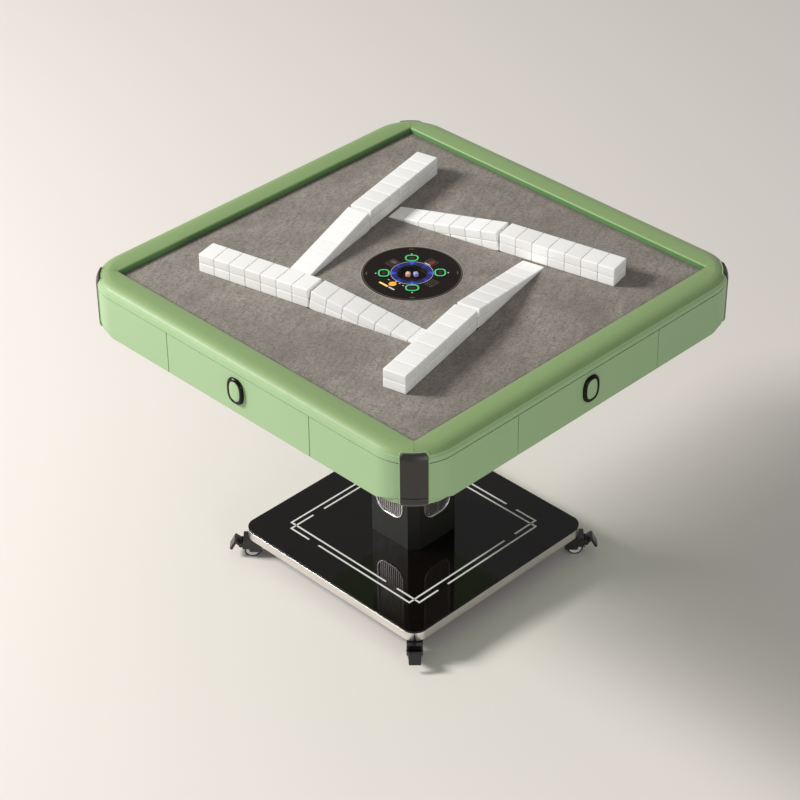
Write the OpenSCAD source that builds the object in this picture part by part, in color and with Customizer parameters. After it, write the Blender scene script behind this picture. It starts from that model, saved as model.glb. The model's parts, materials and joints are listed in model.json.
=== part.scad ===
// Automatic mahjong table with drawers, tile ramps, rising console and caster base.
// Origin: floor, on the column's axis. +Z up. The front side is -Y, the right side is +X.
// Sides go round in the order front, right, back, left; corner i lies between side i and side i + 1.

/* [Body] */
// Height of the rails' inner lip above the floor
lip_h = 738; // [700:1:780]
// Width of the playing well between the rails
well_w = 852; // [820:1:880]
// Width of one rail, from the well to the body's outer face
rail_w = 62; // [56:1:70]
// Plan radius of the body's corners
corner_r = 103; // [84:1:110]
// Height of the rails' outer band, above the fascias
band_h = 22; // [18:1:26]
// Height of a fascia and of a drawer front
fascia_h = 95; // [88:1:110]
// Thickness of a fascia and of a drawer front
fascia_t = 12; // [8:1:14]
// How far the bottom tray hangs below the fascias
tray_drop = 5; // [3:1:10]
// Wall of the bottom tray
tray_t = 3; // [2:0.5:4]

/* [Rails] */
// Rise of the rail's convex top above its lip
crown_h = 3; // [1:0.5:5]
// Radius of the rolled outer edge
edge_r = 22; // [16:0.5:24]
// Radius of the inner lip
lip_r = 2.5; // [1:0.5:4]
// Width and depth of the fine groove along the rolled edge
groove = 0.8; // [0.6:0.1:1.6]
// Place of the groove on the roll, in degrees above level
groove_turn = 37; // [25:1:50]

/* [Corner caps] */
// Chord of a corner cap
cap_w = 52; // [40:1:64]
// Thickness of a corner cap's wall
cap_t = 2.2; // [1.5:0.1:4]
// Depth of a cap's top below the rail's highest line
cap_drop = 5.5; // [4:0.5:9]
// Radius of a cap's upper corners
cap_top_r = 8; // [4:0.5:14]
// Radius of a lower cap's bottom corners
cap_foot_r = 16; // [8:1:20]
// How far a lower cap reaches under the tray from its rolled edge
cap_reach = 4; // [1:0.5:8]

/* [Drawers] */
// Width of a drawer front
drawer_w = 411; // [360:1:440]
// Outer width of a drawer's box
box_w = 380; // [300:1:390]
// Part of a box that stays between its runners when the drawer is out
box_hold = 35; // [20:1:50]
// Height of a drawer's box
box_h = 50; // [35:1:52]
// Thickness of the box's walls
box_t = 5; // [3:0.5:8]
// Thickness of the box's floor
box_floor_t = 3; // [2:0.5:5]
// Travel of a drawer
drawer_travel = 130; // [80:1:140]
// Width of a knob
knob_w = 45; // [36:1:50]
// Height of a knob
knob_h = 59; // [52:1:64]
// How far a knob stands out of the drawer front
knob_out = 7; // [5:0.5:12]
// Radius of the knob's rounded outer edge
knob_edge = 6; // [3:0.5:6.5]
// Width of the knob's green inlay
inlay_w = 26; // [20:1:30]
// Depth of the knob's recess for the inlay
inlay_t = 3; // [2:0.5:5]

/* [Playing field] */
// Depth of the felt's face below the lip
felt_drop = 11; // [8:0.5:14]
// Thickness of the felt
felt_t = 1.5; // [1:0.1:3]
// Thickness of the table board
board_t = 12; // [9:0.5:15]

/* [Tiles] */
// Length of a tile, across its wall
tile_l = 52; // [44:1:54]
// Width of a tile, along its wall
tile_w = 38.2; // [34:0.2:38.6]
// Thickness of a tile
tile_t = 21; // [18:0.5:22]
// Tiles that stand side by side on the felt, and again on the ramp
half_run = 7; // [5:1:7]
// Gap between neighbouring tiles
tile_gap = 0.3; // [0.2:0.05:0.5]
// Turn of a tile wall against its side of the table, in degrees
wall_turn = 12.9; // [10:0.1:14]
// Distance of a wall's outer end from the centre, along its side
wall_start_x = 320; // [310:1:326]
// Distance of a wall's outer end from the centre, across its side
wall_start_y = 299.4; // [292:0.2:304]

/* [Ramps] */
// Thickness of a ramp's plate
ramp_t = 4; // [3:0.5:6]
// Clearance of a ramp and its tiles in the slot, on each side
slot_gap = 1.2; // [0.8:0.1:2]
// Diameter of a ramp's hinge pin
ramp_pin_d = 6; // [5:0.5:7]
// Depth of the hinge pin's axis below the felt
ramp_pin_drop = 8; // [7.5:0.1:8.5]

/* [Console] */
// Diameter of the console plate
console_d = 206; // [190:1:214]
// Thickness of the console plate
console_t = 12; // [8:0.5:16]
// Outer diameter of the light ring
light_d = 86; // [80:1:92]
// Width of the light ring
light_w = 12; // [8:0.5:14]
// Diameter of the clear dome over the dice
dome_d = 62; // [50:1:64]
// Height of the dome above the console
dome_h = 9; // [6:0.5:12]
// Edge of a die
die_a = 12; // [8:0.5:13]
// Distance of a button from the console's centre
button_reach = 58; // [57:0.5:66]
// Width of a button, round the console
button_w = 33; // [24:0.5:36]
// Depth of a button, outward
button_d = 26; // [18:0.5:27]
// Travel of a button
button_travel = 1.5; // [1:0.1:2]
// Rise of the console
console_rise = 45; // [30:1:50]

/* [Lift and shuffler] */
// Diameter of the riser tube below the console
riser_d = 56; // [48:1:60]
// Wall of the riser tube
riser_t = 3; // [2:0.5:4]
// Radial running clearance of the riser in its guide
riser_gap = 0.06; // [0.03:0.01:0.09]
// Wall of the fixed guide
guide_t = 6; // [4:0.5:8]
// Outer diameter of the shuffling pan
pan_d = 440; // [400:1:450]
// Height of the pan's rim
pan_h = 26; // [20:1:30]
// Thickness of the pan's floor and walls
pan_t = 3; // [2:0.5:4]
// Rubber blades on the pan's floor
pan_blades = 6; // [4:1:9]
// Diameter of the rubber drive wheel
drive_d = 40; // [34:1:46]
// Thickness of the rubber drive wheel
drive_t = 12; // [8:1:16]

/* [Chassis] */
// Height of the ring beam
beam_h = 30; // [24:1:32]
// Width of the ring beam
beam_w = 40; // [30:1:44]
// Width of a corner post
post_w = 40; // [30:1:44]
// Height of the diagonal beams
floor_beam_h = 20; // [14:1:21]

/* [Column] */
// Width of the column
column_w = 146; // [130:1:160]
// Leg of the column's corner chamfers
column_chamfer = 18; // [10:1:24]
// Wall of the column shell
column_t = 3; // [2:0.5:5]
// Width of a grille window
window_w = 82; // [70:1:96]
// Corner radius of a grille window
window_r = 30; // [10:1:34]
// Distance of a window's lowest point above the base
window_low = 68; // [50:1:120]
// Distance of a window's highest point below the flange
window_high = 45; // [30:1:80]
// Width of a grille's silver rim
rim_w = 4; // [3:0.5:7]
// How far a rim stands out of the column
rim_out = 1.5; // [1:0.1:3]
// Ribs of a grille
rib_count = 11; // [7:1:13]
// Width of the flange on top of the column
flange_w = 240; // [200:1:280]
// Thickness of the flange on top of the column
flange_t = 6; // [4:0.5:8]

/* [Base] */
// Width of the base plate
base_w = 534.8; // [500:0.2:560]
// Plan radius of the base plate's corners
base_r = 32; // [20:1:40]
// Thickness of the glass
glass_t = 5; // [4:0.5:8]
// Height of the silver trim
trim_h = 21; // [16:0.5:24]
// Thickness of the silver trim
trim_t = 3; // [2:0.5:4]
// Width of the trim's joint at a corner, at its foot
trim_joint = 7; // [4:0.5:10]

/* [Casters] */
// Height of the steel plate's underside above the floor
caster_h = 49; // [46:1:56]
// Diameter of a wheel
wheel_d = 36; // [32:1:38]
// Width of a wheel
wheel_w = 9; // [7:0.5:10]
// Distance between a pair's wheel centres
wheel_track = 20; // [18:0.5:24]
// Diameter of the axle
axle_d = 6; // [5:0.5:8]
// Radial running clearance of the axle and of the swivel stem
run_gap = 0.05; // [0.02:0.01:0.09]
// Distance of the axle from the swivel axis
caster_trail = 6; // [4:0.5:9]
// Diameter of the swivel stem
stem_d = 10; // [8:0.5:12]
// Distance of the swivel axis from the base plate's sides
stem_inset = 19; // [17:0.5:30]
// Length of the pedal's toe plate
toe_l = 24; // [18:0.5:28]
// Width of the pedal at its root
pedal_w = 30; // [24:1:32]
// Thickness of the pedal
pedal_t = 6; // [4:0.5:8]

/* [Hidden] */
$fn = 72;
SIDES = ["front", "right", "back", "left"];
CORNERS = ["front_right", "back_right", "back_left", "front_left"];
quarter = 90;
half_turn = 180;
// Gap between pieces that move or lie side by side, and the overrun of every cut
air = 0.3;
over = 2;
// Open seam between the outer panels
seam_gap = 1.6;

// Body levels and half widths
well = well_w / 2;
body = well + rail_w;
axis_c = body - corner_r;
body_diag = axis_c * sqrt(2) + corner_r;
rail_low = lip_h - band_h;
fascia_top = rail_low - seam_gap;
fascia_low = rail_low - fascia_h;
fascia_in = body - fascia_t;
tray_low = fascia_low - tray_drop;
tray_floor = tray_low + tray_t;
felt_z = lip_h - felt_drop;
board_top = felt_z - felt_t;
board_low = board_top - board_t;
beam_low = board_low - beam_h;
beam_in = fascia_in - beam_w;
beam_floor_top = tray_floor + floor_beam_h;

// Rails
crown_z = lip_h + crown_h;
crown_r = (rail_w * rail_w / 4 + crown_h * crown_h) / (2 * crown_h);
rail_step = fascia_in - air;
roll_z = crown_z - edge_r;

// Corner caps and the tray's corners, which rise to a slanted seam beside each lower cap
cap_in_r = corner_r + air;
cap_out_r = cap_in_r + cap_t;
cap_half_angle = asin(cap_w / 2 / cap_out_r);
cap_top = crown_z - cap_drop;
cap_swing = asin((cap_w / 2 + over) / (corner_r - edge_r));
seam_rise = 16;
cap_seam = fascia_low + seam_rise;
cap_foot_low = tray_low - air - cap_t;
tray_back = 1;
tray_r = corner_r - tray_back;
tray_edge_r = 12;
tray_corner_t = tray_edge_r / 2;
tray_inset = 10;
slant_d = (axis_c + body) / sqrt(2);
slant_far = body_diag + band_h;
slant_far_z = fascia_low + seam_rise * (slant_far - slant_d) / (body_diag - slant_d);
cap_side_d = axis_c * sqrt(2) + corner_r * cos(cap_half_angle);
cap_side_z = fascia_low + seam_rise * (cap_side_d - slant_d) / (body_diag - slant_d);

// Drawers
seam_x = drawer_w / 2 + seam_gap;
box_lift = 7;
box_low = tray_floor + box_lift;
box_depth = drawer_travel + box_hold;
knob_straight = knob_h - knob_w;
knob_rise_share = 0.578;
knob_z = fascia_low + fascia_h * knob_rise_share;
runner_t = 4;
ledge_w = 12;
runner_h = 24;

// Tile walls, ramps and slots
pitch = tile_w + tile_gap;
stack_h = 2 * tile_t + tile_gap;
run_l = half_run * pitch;
ramp_angle = asin(stack_h / run_l);
knuckle_wall = 2;
knuckle_r = ramp_pin_d / 2 + knuckle_wall;
pin_reach = 8;
slot_end_gap = stack_h * sin(ramp_angle);
slot_start = run_l - knuckle_r - air;
slot_l = 2 * run_l + slot_end_gap - slot_start;
slot_w = tile_l + 2 * slot_gap;
pin_z = felt_z - ramp_pin_drop;
pin_l = slot_w + 2 * pin_reach;

// Console, riser and guide
console_gap = 1.2;
console_proud = 1;
console_top = felt_z + console_proud;
console_low = console_top - console_t;
light_t = 3;
dome_t = 1.5;
dome_seat = 0.6;
well_d = dome_d - 2 * (dome_t + dome_seat);
well_depth = 8;
dome_r = (dome_h * dome_h + dome_d * dome_d / 4) / (2 * dome_h);
die_place_share = 0.5;
die_turn = 12;
button_h = 6.5;
button_proud = 0.6;
button_r = 9;
guide_low = beam_floor_top;
guide_top = console_low - air;
guide_bore = riser_d / 2 + riser_gap;
guide_r = guide_bore + guide_t;
riser_hold = 12;
riser_low = guide_top - console_rise - riser_hold;

// Shuffling pan and its drive
collar_h = 3;
collar_w = 12;
collar_r = guide_r + collar_w;
pan_low = guide_low + collar_h + air;
pan_r = pan_d / 2;
hub_t = 6;
hub_bore = guide_r + riser_gap;
hub_r = hub_bore + hub_t;
blade_h = 8;
hub_step = 1;
hub_h = pan_t + blade_h - hub_step;
blade_w = 6;
drive_turn = 66;
drive_at = pan_r + drive_d / 2 + run_gap;
drive_low = pan_low + pan_t;
motor_d = 56;
motor_top = pan_low - 2 * air;
motor_shaft_d = 6;
motor_bore_h = 14;

// Conveyors, control box and power supply
conveyor_gap = 12;
conveyor_l = 150;
conveyor_w = 56;
conveyor_h = 44;
conveyor_t = 3;
conveyor_aside = 4;
roller_d = 18;
roller_pin_d = 6;
unit_a = 100;
unit_h = 38;
unit_at = 310;

// Chassis
post_back = 2;
post_out = axis_c + (corner_r - fascia_t) / sqrt(2) - post_back;
post_c = post_out - post_w / 2;
hub_plate_w = 10;
hub_plate_r = collar_r + hub_plate_w;

// Column
base_top = caster_h + trim_h + glass_t;
column_low = caster_h + trim_h;
column_top = tray_low - flange_t;
column = column_w / 2;
window_z0 = base_top + window_low;
window_z1 = column_top - window_high;
window_mid = (window_z0 + window_z1) / 2;
window_h = window_z1 - window_z0;
grille_t = 3;
grille_lap = 2;
rib_t = 2;
rib_out = 2.5;

// Base
base = base_w / 2;
plate_half = base - trim_t - air;
plate_r = base_r - trim_t - air;
plate_top = column_low;
plate_t = 6;
skirt_t = 4;
pad_w = 32;
stem_c = base - stem_inset;

// Casters, in their own frame: x outward from the swivel axis, y along the axle
axle_z = wheel_d / 2;
wheel_r = wheel_d / 2;
wheel_air = 0.6;
fin_t = wheel_track - wheel_w - 2 * wheel_air;
fender_gap = 1.5;
fender_t = 3;
fender_r = wheel_r + fender_gap + fender_t;
cheek_t = 2;
fender_w = wheel_track + wheel_w + 2 * (wheel_air + cheek_t);
cheek_reach = 6;
cheek_drop = 4;
fender_cut = 4;
collar_d = 24;
hood_back = 12;
hood_front = 25.5;
hood_t = 2.2;
hood_low = 30;
hood_top = caster_h - air;
stem_l = 16;
hub_d = 16;
tread_t = 3;
rim_dish = 1.6;
axle_end = 3.5;
pedal_gap = 3;
pedal_pin_x = caster_trail + fender_r + pedal_gap;
pedal_pin_rise = 12;
pedal_pin_z = axle_z + pedal_pin_rise;
pedal_pin_d = 4;
pedal_knuckle_r = 4.5;
pedal_step = 0.7;
arm_turn = 42;
arm_l = 15;
bend_lap = 0.4;
lug_t = 4;
toe_turn = 62;
toe_w = 22;

// Puts a thing made for the front side on side i
module on_side(i) {
    rotate([0, 0, quarter * i]) children();
}

// Puts a thing made along +X, from the centre outward, on the diagonal of corner i
module on_diagonal(i) {
    rotate([0, 0, quarter * i - quarter / 2]) children();
}

// Puts a thing made with x along the tile wall and y across it, towards the centre, on side i
module on_wall(i) {
    on_side(i) translate([-wall_start_x, -wall_start_y, 0]) rotate([0, 0, wall_turn]) children();
}

// Square outline with round corners, centred
module round_square(half, r) {
    square([2 * half, 2 * (half - r)], center = true);
    square([2 * (half - r), 2 * half], center = true);
    for (x = [-1, 1], y = [-1, 1]) translate([x * (half - r), y * (half - r)]) circle(r);
}

// Half section of a round block: r wide, from low to high, its outer edge at one end rolled
module rolled_section(r, low, high, roll, top) {
    intersection() {
        union() {
            translate([0, top ? low : low + roll]) square([r, high - low - roll]);
            translate([0, low]) square([r - roll, high - low]);
            translate([r - roll, top ? high - roll : low + roll]) circle(roll);
        }
        translate([0, low]) square([r, high - low]);
    }
}

// Rail section: x from the table's centre outward, y up
module rail_section() {
    difference() {
        intersection() {
            union() {
                translate([well, board_low]) square([rail_step - well, crown_z - board_low]);
                translate([well, rail_low]) square([rail_w, crown_z - rail_low]);
            }
            translate([well + rail_w / 2, crown_z - crown_r]) circle(crown_r, $fn = 240);
            rolled_section(body, board_low, crown_z, edge_r, true);
            union() {
                translate([well + lip_r, board_low]) square([rail_w, crown_z - board_low]);
                translate([well, board_low]) square([rail_w, lip_h - lip_r - board_low]);
                translate([well + lip_r, lip_h - lip_r]) circle(lip_r);
            }
        }
        edge_groove(body);
    }
}

// Fine groove along the roll of an edge that ends at x = r
module edge_groove(r) {
    translate([r - edge_r, roll_z]) rotate(groove_turn) translate([edge_r - groove, -groove / 2])
        square([groove + over, groove]);
}

// Section of the rail's outer edge about the corner's axis
module rail_edge_section() {
    difference() {
        rolled_section(corner_r, board_low, crown_z, edge_r, true);
        edge_groove(corner_r);
        translate([rail_step - axis_c, board_low - over])
            square([fascia_t + over, rail_low - board_low + over]);
    }
}

// One mitred rail, on the front side
module rail() {
    rotate([quarter, 0, -quarter])
        translate([0, 0, -axis_c]) linear_extrude(2 * axis_c) rail_section();
    for (m = [0, 1]) mirror([m, 0, 0]) intersection() {
        rotate([quarter, 0, -quarter]) translate([0, 0, -body]) linear_extrude(corner_r)
            rail_section();
        translate([axis_c, -axis_c, 0]) rotate([0, 0, -quarter]) rotate_extrude(angle = quarter, $fn = 144)
            rail_edge_section();
        linear_extrude(crown_z + over) polygon([[0, 0], [axis_c - over, -body], [body - air / 2, -body]]);
    }
}

module rail_frame() {
    color("darkseagreen") for (i = [0:3]) on_side(i) rail();
}

// Shell section about the corner's axis: the upper cap, wrapped over the rolled edge
module cap_section() {
    difference() {
        rolled_section(cap_out_r, cap_seam + seam_gap, crown_z + air + cap_t, edge_r + air + cap_t, true);
        rolled_section(cap_in_r, cap_seam - over, crown_z + air, edge_r + air, true);
        translate([-over, cap_seam - over]) square([corner_r - edge_r + over, fascia_h + band_h]);
    }
}

// The lower cap's section, wrapped round the tray's corner and under it
module foot_section() {
    difference() {
        rolled_section(cap_out_r, cap_foot_low, cap_seam, tray_edge_r + air + cap_t, false);
        rolled_section(tray_r + air, tray_low - air, cap_seam + over, tray_edge_r + air, false);
        translate([0, cap_side_z - tray_back]) square([cap_in_r, seam_rise + over]);
        translate([-over, cap_foot_low - over])
            square([tray_r - tray_edge_r - cap_reach + over, cap_seam - cap_foot_low + 2 * over]);
    }
}

// Front outline of a cap, as wide as the cap and centred on its seam, with corners of radius r
module cap_front(h, r) {
    translate([corner_r / 2, 0, cap_seam]) rotate([quarter, 0, quarter]) linear_extrude(corner_r)
        rounded_plate(cap_w, 2 * h, r, 0);
}

module corner_cap() {
    translate([axis_c * sqrt(2), 0, 0]) {
        intersection() {
            rotate([0, 0, -cap_swing]) rotate_extrude(angle = 2 * cap_swing, $fn = 144) cap_section();
            cap_front(cap_top - cap_seam, cap_top_r);
        }
        intersection() {
            rotate([0, 0, -cap_swing]) rotate_extrude(angle = 2 * cap_swing, $fn = 144) foot_section();
            cap_front(cap_seam - cap_foot_low + air, cap_foot_r);
        }
    }
}

module corner_caps() {
    color([0.2, 0.18, 0.17]) for (i = [0:3]) on_diagonal(i) corner_cap();
}

// Upright section along a corner's diagonal, made corner_r wide to each side
module along_corner(i) {
    on_diagonal(i) rotate([quarter, 0, 0])
        translate([0, 0, -corner_r]) linear_extrude(2 * corner_r) children();
}

module corner_fascias() {
    color([0.66, 0.77, 0.6]) difference() {
        translate([0, 0, fascia_low]) linear_extrude(fascia_top - fascia_low) difference() {
            round_square(body, corner_r);
            round_square(fascia_in, corner_r - fascia_t);
            for (k = [0, 1]) rotate([0, 0, quarter * k])
                square([2 * seam_x, 2 * body + over], center = true);
        }
        for (i = [0:3]) along_corner(i)
            polygon([[slant_d, fascia_low], [slant_far, slant_far_z],
                [slant_far, tray_low], [slant_d, tray_low]]);
    }
}

// Solid form of the tray, round corners and rolled lower edges
module tray_block() {
    top = slant_far_z;
    for (k = [0, 1]) rotate([quarter, 0, quarter * k]) translate([0, 0, -axis_c])
        linear_extrude(2 * axis_c) for (m = [0, 1]) mirror([m, 0])
        rolled_section(body - tray_back, tray_low, top, tray_edge_r, false);
    for (i = [0:3]) on_side(i) translate([axis_c, axis_c, 0])
        rotate_extrude(angle = quarter, $fn = 144) rolled_section(tray_r, tray_low, top, tray_edge_r, false);
}

module body_tray() {
    side = body - tray_inset;
    color([0.62, 0.74, 0.56]) difference() {
        intersection() {
            tray_block();
            union() {
                translate([-side, -side, tray_low - over])
                    cube([2 * side, 2 * side, fascia_low - air - tray_low + over]);
                for (i = [0:3]) along_corner(i) polygon([[slant_d, tray_low], [slant_far, tray_low],
                    [slant_far, slant_far_z - air], [slant_d, fascia_low - air]]);
            }
            translate([-side, -side, tray_low - over]) cube([2 * side, 2 * side, fascia_h]);
        }
        translate([0, 0, tray_floor]) linear_extrude(fascia_h) intersection() {
            round_square(body - tray_back - tray_corner_t, tray_r - tray_corner_t);
            square(2 * (side - tray_t), center = true);
        }
    }
}

// Drawers, on the front side
module drawer_face(i) {
    color([0.66, 0.77, 0.6]) on_side(i) {
        translate([-drawer_w / 2, -body, fascia_low])
            cube([drawer_w, fascia_t, fascia_top - fascia_low]);
        translate([0, -body - knob_out, knob_z]) rotate([-quarter, 0, 0])
            linear_extrude(inlay_t - air) inlay_outline(air);
    }
}

// Upright plate outline with round corners, drawn in by a clearance
module rounded_plate(w, h, r, inset) {
    hw = w / 2 - inset;
    hh = h / 2 - inset;
    rr = r - inset;
    square([2 * hw, 2 * (hh - rr)], center = true);
    square([2 * (hw - rr), 2 * hh], center = true);
    for (x = [-1, 1], y = [-1, 1]) translate([x * (hw - rr), y * (hh - rr)]) circle(rr);
}

// Outline of the green inlay in a knob, upright with round ends, drawn in by a clearance
module inlay_outline(inset) {
    square([inlay_w - 2 * inset, knob_straight], center = true);
    for (m = [-1, 1]) translate([0, m * knob_straight / 2]) circle(d = inlay_w - 2 * inset);
}

module drawer_box(i) {
    color("burlywood") on_side(i) translate([-box_w / 2, -fascia_in, box_low]) difference() {
        cube([box_w, box_depth, box_h]);
        translate([box_t, box_t, box_floor_t])
            cube([box_w - 2 * box_t, box_depth - 2 * box_t, box_h]);
    }
}

// Half section of a knob: x from its middle line, y out of the drawer front
module knob_section() {
    difference() {
        rolled_section(knob_w / 2, 0, knob_out, knob_edge, true);
        translate([-over, knob_out - inlay_t]) square([inlay_w / 2 + over, inlay_t + over]);
    }
}

// A straight middle between two half turns of the same section
module drawer_knob(i) {
    color([0.08, 0.08, 0.08]) on_side(i) translate([0, -body, knob_z]) rotate([quarter, 0, 0]) {
        rotate([quarter, 0, 0]) translate([0, 0, -knob_straight / 2]) linear_extrude(knob_straight)
            for (m = [0, 1]) mirror([m, 0]) knob_section();
        for (m = [0, 1]) mirror([0, m, 0]) translate([0, knob_straight / 2, 0])
            rotate_extrude(angle = half_turn) knob_section();
    }
}

// Angle runners: the box slides on the ledges, between the upright legs
module drawer_runners() {
    color("silver") for (i = [0:3], m = [0, 1]) on_side(i) mirror([m, 0, 0])
        translate([box_w / 2 + air, -fascia_in + over, tray_floor]) {
            cube([runner_t, box_depth - over, runner_h]);
            translate([-ledge_w, 0, 0]) cube([ledge_w, box_depth - over, box_low - air - tray_floor]);
        }
}

// Outline of what is cut for one side's ramp, from the knee's knuckle to the sunken end
module slot_outline(i) {
    on_wall(i) translate([slot_start, -slot_gap]) square([slot_l, slot_w]);
}

module field_outline() {
    difference() {
        square(2 * (well - air), center = true);
        circle(d = console_d + 2 * console_gap);
        for (i = [0:3]) slot_outline(i);
    }
}

module table_board() {
    color("tan") difference() {
        translate([0, 0, board_low]) linear_extrude(board_t) field_outline();
        for (i = [0:3]) on_wall(i) translate([run_l, -slot_gap - pin_reach - air, pin_z])
            rotate([-quarter, 0, 0]) cylinder(d = ramp_pin_d + 2 * run_gap, h = pin_l + 2 * air);
    }
}

module felt_top() {
    color([0.5, 0.47, 0.44]) translate([0, 0, board_top]) linear_extrude(felt_t) field_outline();
}

// Stacks of two tiles along +X
module tile_run() {
    for (k = [0:half_run - 1], layer = [0, 1])
        translate([k * pitch + tile_gap / 2, 0, layer * (tile_t + tile_gap)]) cube([tile_w, tile_l, tile_t]);
}

module standing_tiles() {
    color("white") for (i = [0:3]) on_wall(i) translate([0, 0, felt_z]) tile_run();
}

// Tilts what is made for a raised ramp about the hinge pin, into the lowered place
module lowered(i) {
    on_wall(i) translate([run_l, 0, pin_z]) rotate([0, ramp_angle, 0]) children();
}

module ramp_tiles(i) {
    color("white") lowered(i) translate([0, 0, ramp_pin_drop]) tile_run();
}

module ramp(i) {
    color([0.15, 0.15, 0.16]) lowered(i) {
        translate([tile_gap / 2, 0, ramp_pin_drop - ramp_t]) cube([run_l, tile_l, ramp_t]);
        // Two ribs under the plate and the hinge knuckle
        for (y = [0, tile_l - ramp_t]) translate([knuckle_r, y, 0])
            cube([run_l - 2 * knuckle_r, ramp_t, ramp_pin_drop - ramp_t]);
        rotate([-quarter, 0, 0]) cylinder(r = knuckle_r, h = tile_l);
        cube([knuckle_r, tile_l, ramp_pin_drop - ramp_t]);
        translate([0, -slot_gap - pin_reach, 0]) rotate([-quarter, 0, 0])
            cylinder(d = ramp_pin_d, h = pin_l);
    }
}

module button_outline(inset) {
    rounded_plate(button_w, button_d, button_r, inset);
}

module at_button(i) {
    on_side(i) translate([0, -button_reach, 0]) children();
}

module console_plate() {
    color([0.1, 0.09, 0.08]) difference() {
        union() {
            translate([0, 0, console_low]) cylinder(d = console_d, h = console_t, $fn = 144);
            translate([0, 0, riser_low]) cylinder(d = riser_d, h = console_low - riser_low + over);
        }
        translate([0, 0, riser_low - over])
            cylinder(d = riser_d - 2 * riser_t, h = console_low - riser_low + over);
        translate([0, 0, console_top - well_depth]) cylinder(d = well_d, h = well_depth + over);
        translate([0, 0, console_top - light_t]) difference() {
            cylinder(d = light_d + 2 * air, h = light_t + over);
            translate([0, 0, -over]) cylinder(d = light_d - 2 * light_w - 2 * air, h = light_t + 3 * over);
        }
        for (i = [0:3]) rotate([0, 0, quarter / 2]) at_button(i)
            translate([0, 0, console_top + button_proud - button_h - button_travel - air])
            linear_extrude(button_h + button_travel + over) button_outline(0);
    }
}

module light_ring() {
    color([0.2, 0.35, 0.9]) translate([0, 0, console_top - light_t]) difference() {
        cylinder(d = light_d, h = light_t);
        translate([0, 0, -over]) cylinder(d = light_d - 2 * light_w, h = light_t + 2 * over);
    }
}

module dice_dome() {
    color([0.8, 0.85, 0.9, 0.4]) translate([0, 0, console_top]) rotate_extrude($fn = 96) intersection() {
        difference() {
            translate([0, dome_h - dome_r]) circle(dome_r, $fn = 180);
            translate([0, dome_h - dome_r]) circle(dome_r - dome_t, $fn = 180);
        }
        square([dome_d, dome_h + over]);
    }
}

module dice() {
    color("white") for (m = [-1, 1])
        translate([m * die_a * die_place_share, m * die_a * die_place_share, console_top - well_depth])
        rotate([0, 0, quarter / 2 + m * die_turn]) translate([-die_a / 2, -die_a / 2, 0]) cube(die_a);
}

module button(i) {
    color([0.2, 0.6, 0.3]) rotate([0, 0, quarter / 2]) at_button(i)
        translate([0, 0, console_top + button_proud - button_h])
        linear_extrude(button_h) button_outline(air);
}

module riser_guide() {
    color("silver") difference() {
        union() {
            translate([0, 0, guide_low]) cylinder(r = guide_r, h = guide_top - guide_low);
            translate([0, 0, guide_low]) cylinder(r = collar_r, h = collar_h);
        }
        translate([0, 0, guide_low + over]) cylinder(r = guide_bore, h = guide_top - guide_low);
    }
}

module shuffle_pan() {
    color([0.25, 0.25, 0.27]) translate([0, 0, pan_low]) {
        difference() {
            cylinder(r = pan_r, h = pan_h, $fn = 180);
            translate([0, 0, pan_t]) cylinder(r = pan_r - pan_t, h = pan_h, $fn = 180);
            translate([0, 0, -over]) cylinder(r = hub_r - pan_t, h = pan_h);
        }
        difference() {
            cylinder(r = hub_r, h = hub_h);
            translate([0, 0, -over]) cylinder(r = hub_bore, h = hub_h + 2 * over);
        }
        for (k = [0:pan_blades - 1]) rotate([0, 0, 2 * half_turn * k / pan_blades])
            translate([hub_r - hub_t / 2, -blade_w / 2, pan_t / 2])
                cube([pan_r - hub_r + (hub_t - pan_t) / 2, blade_w, pan_t / 2 + blade_h]);
    }
}

module at_drive() {
    rotate([0, 0, drive_turn]) translate([drive_at, 0, 0]) children();
}

module drive_wheel() {
    color([0.1, 0.1, 0.1]) at_drive() {
        translate([0, 0, drive_low]) cylinder(d = drive_d, h = drive_t);
        translate([0, 0, motor_top - motor_bore_h])
            cylinder(d = motor_shaft_d, h = drive_low - motor_top + motor_bore_h + over);
    }
}

module drive_units() {
    color([0.35, 0.36, 0.38]) {
        at_drive() difference() {
            translate([0, 0, tray_floor]) cylinder(d = motor_d, h = motor_top - tray_floor);
            translate([0, 0, motor_top - motor_bore_h - air])
                cylinder(d = motor_shaft_d + 2 * run_gap, h = motor_bore_h + over);
        }
        for (x = [-1, 1]) translate([x * unit_at, unit_at, beam_floor_top])
            translate([-unit_a / 2, -unit_a / 2, 0]) cube([unit_a, unit_a, unit_h]);
    }
}

// Belt trough that lifts tiles from the pan to the ramp, standing on the tray
module tile_conveyors() {
    color([0.55, 0.56, 0.58]) for (i = [0:3]) on_wall(i)
        translate([run_l + conveyor_gap, -conveyor_aside - conveyor_w, tray_floor]) {
            difference() {
                cube([conveyor_l, conveyor_w, conveyor_h]);
                translate([-over, conveyor_t, conveyor_t])
                    cube([conveyor_l + 2 * over, conveyor_w - 2 * conveyor_t, conveyor_h]);
            }
            translate([0, 0, conveyor_h - roller_d / 2]) {
                for (x = [roller_d, conveyor_l - roller_d]) translate([x, 0, 0]) rotate([-quarter, 0, 0]) {
                    translate([0, 0, 2 * conveyor_t])
                        cylinder(d = roller_d, h = conveyor_w - 4 * conveyor_t);
                    cylinder(d = roller_pin_d, h = conveyor_w);
                }
                translate([roller_d, 2 * conveyor_t, -roller_d / 2])
                    cube([conveyor_l - 2 * roller_d, conveyor_w - 4 * conveyor_t, roller_d]);
            }
        }
}

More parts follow.
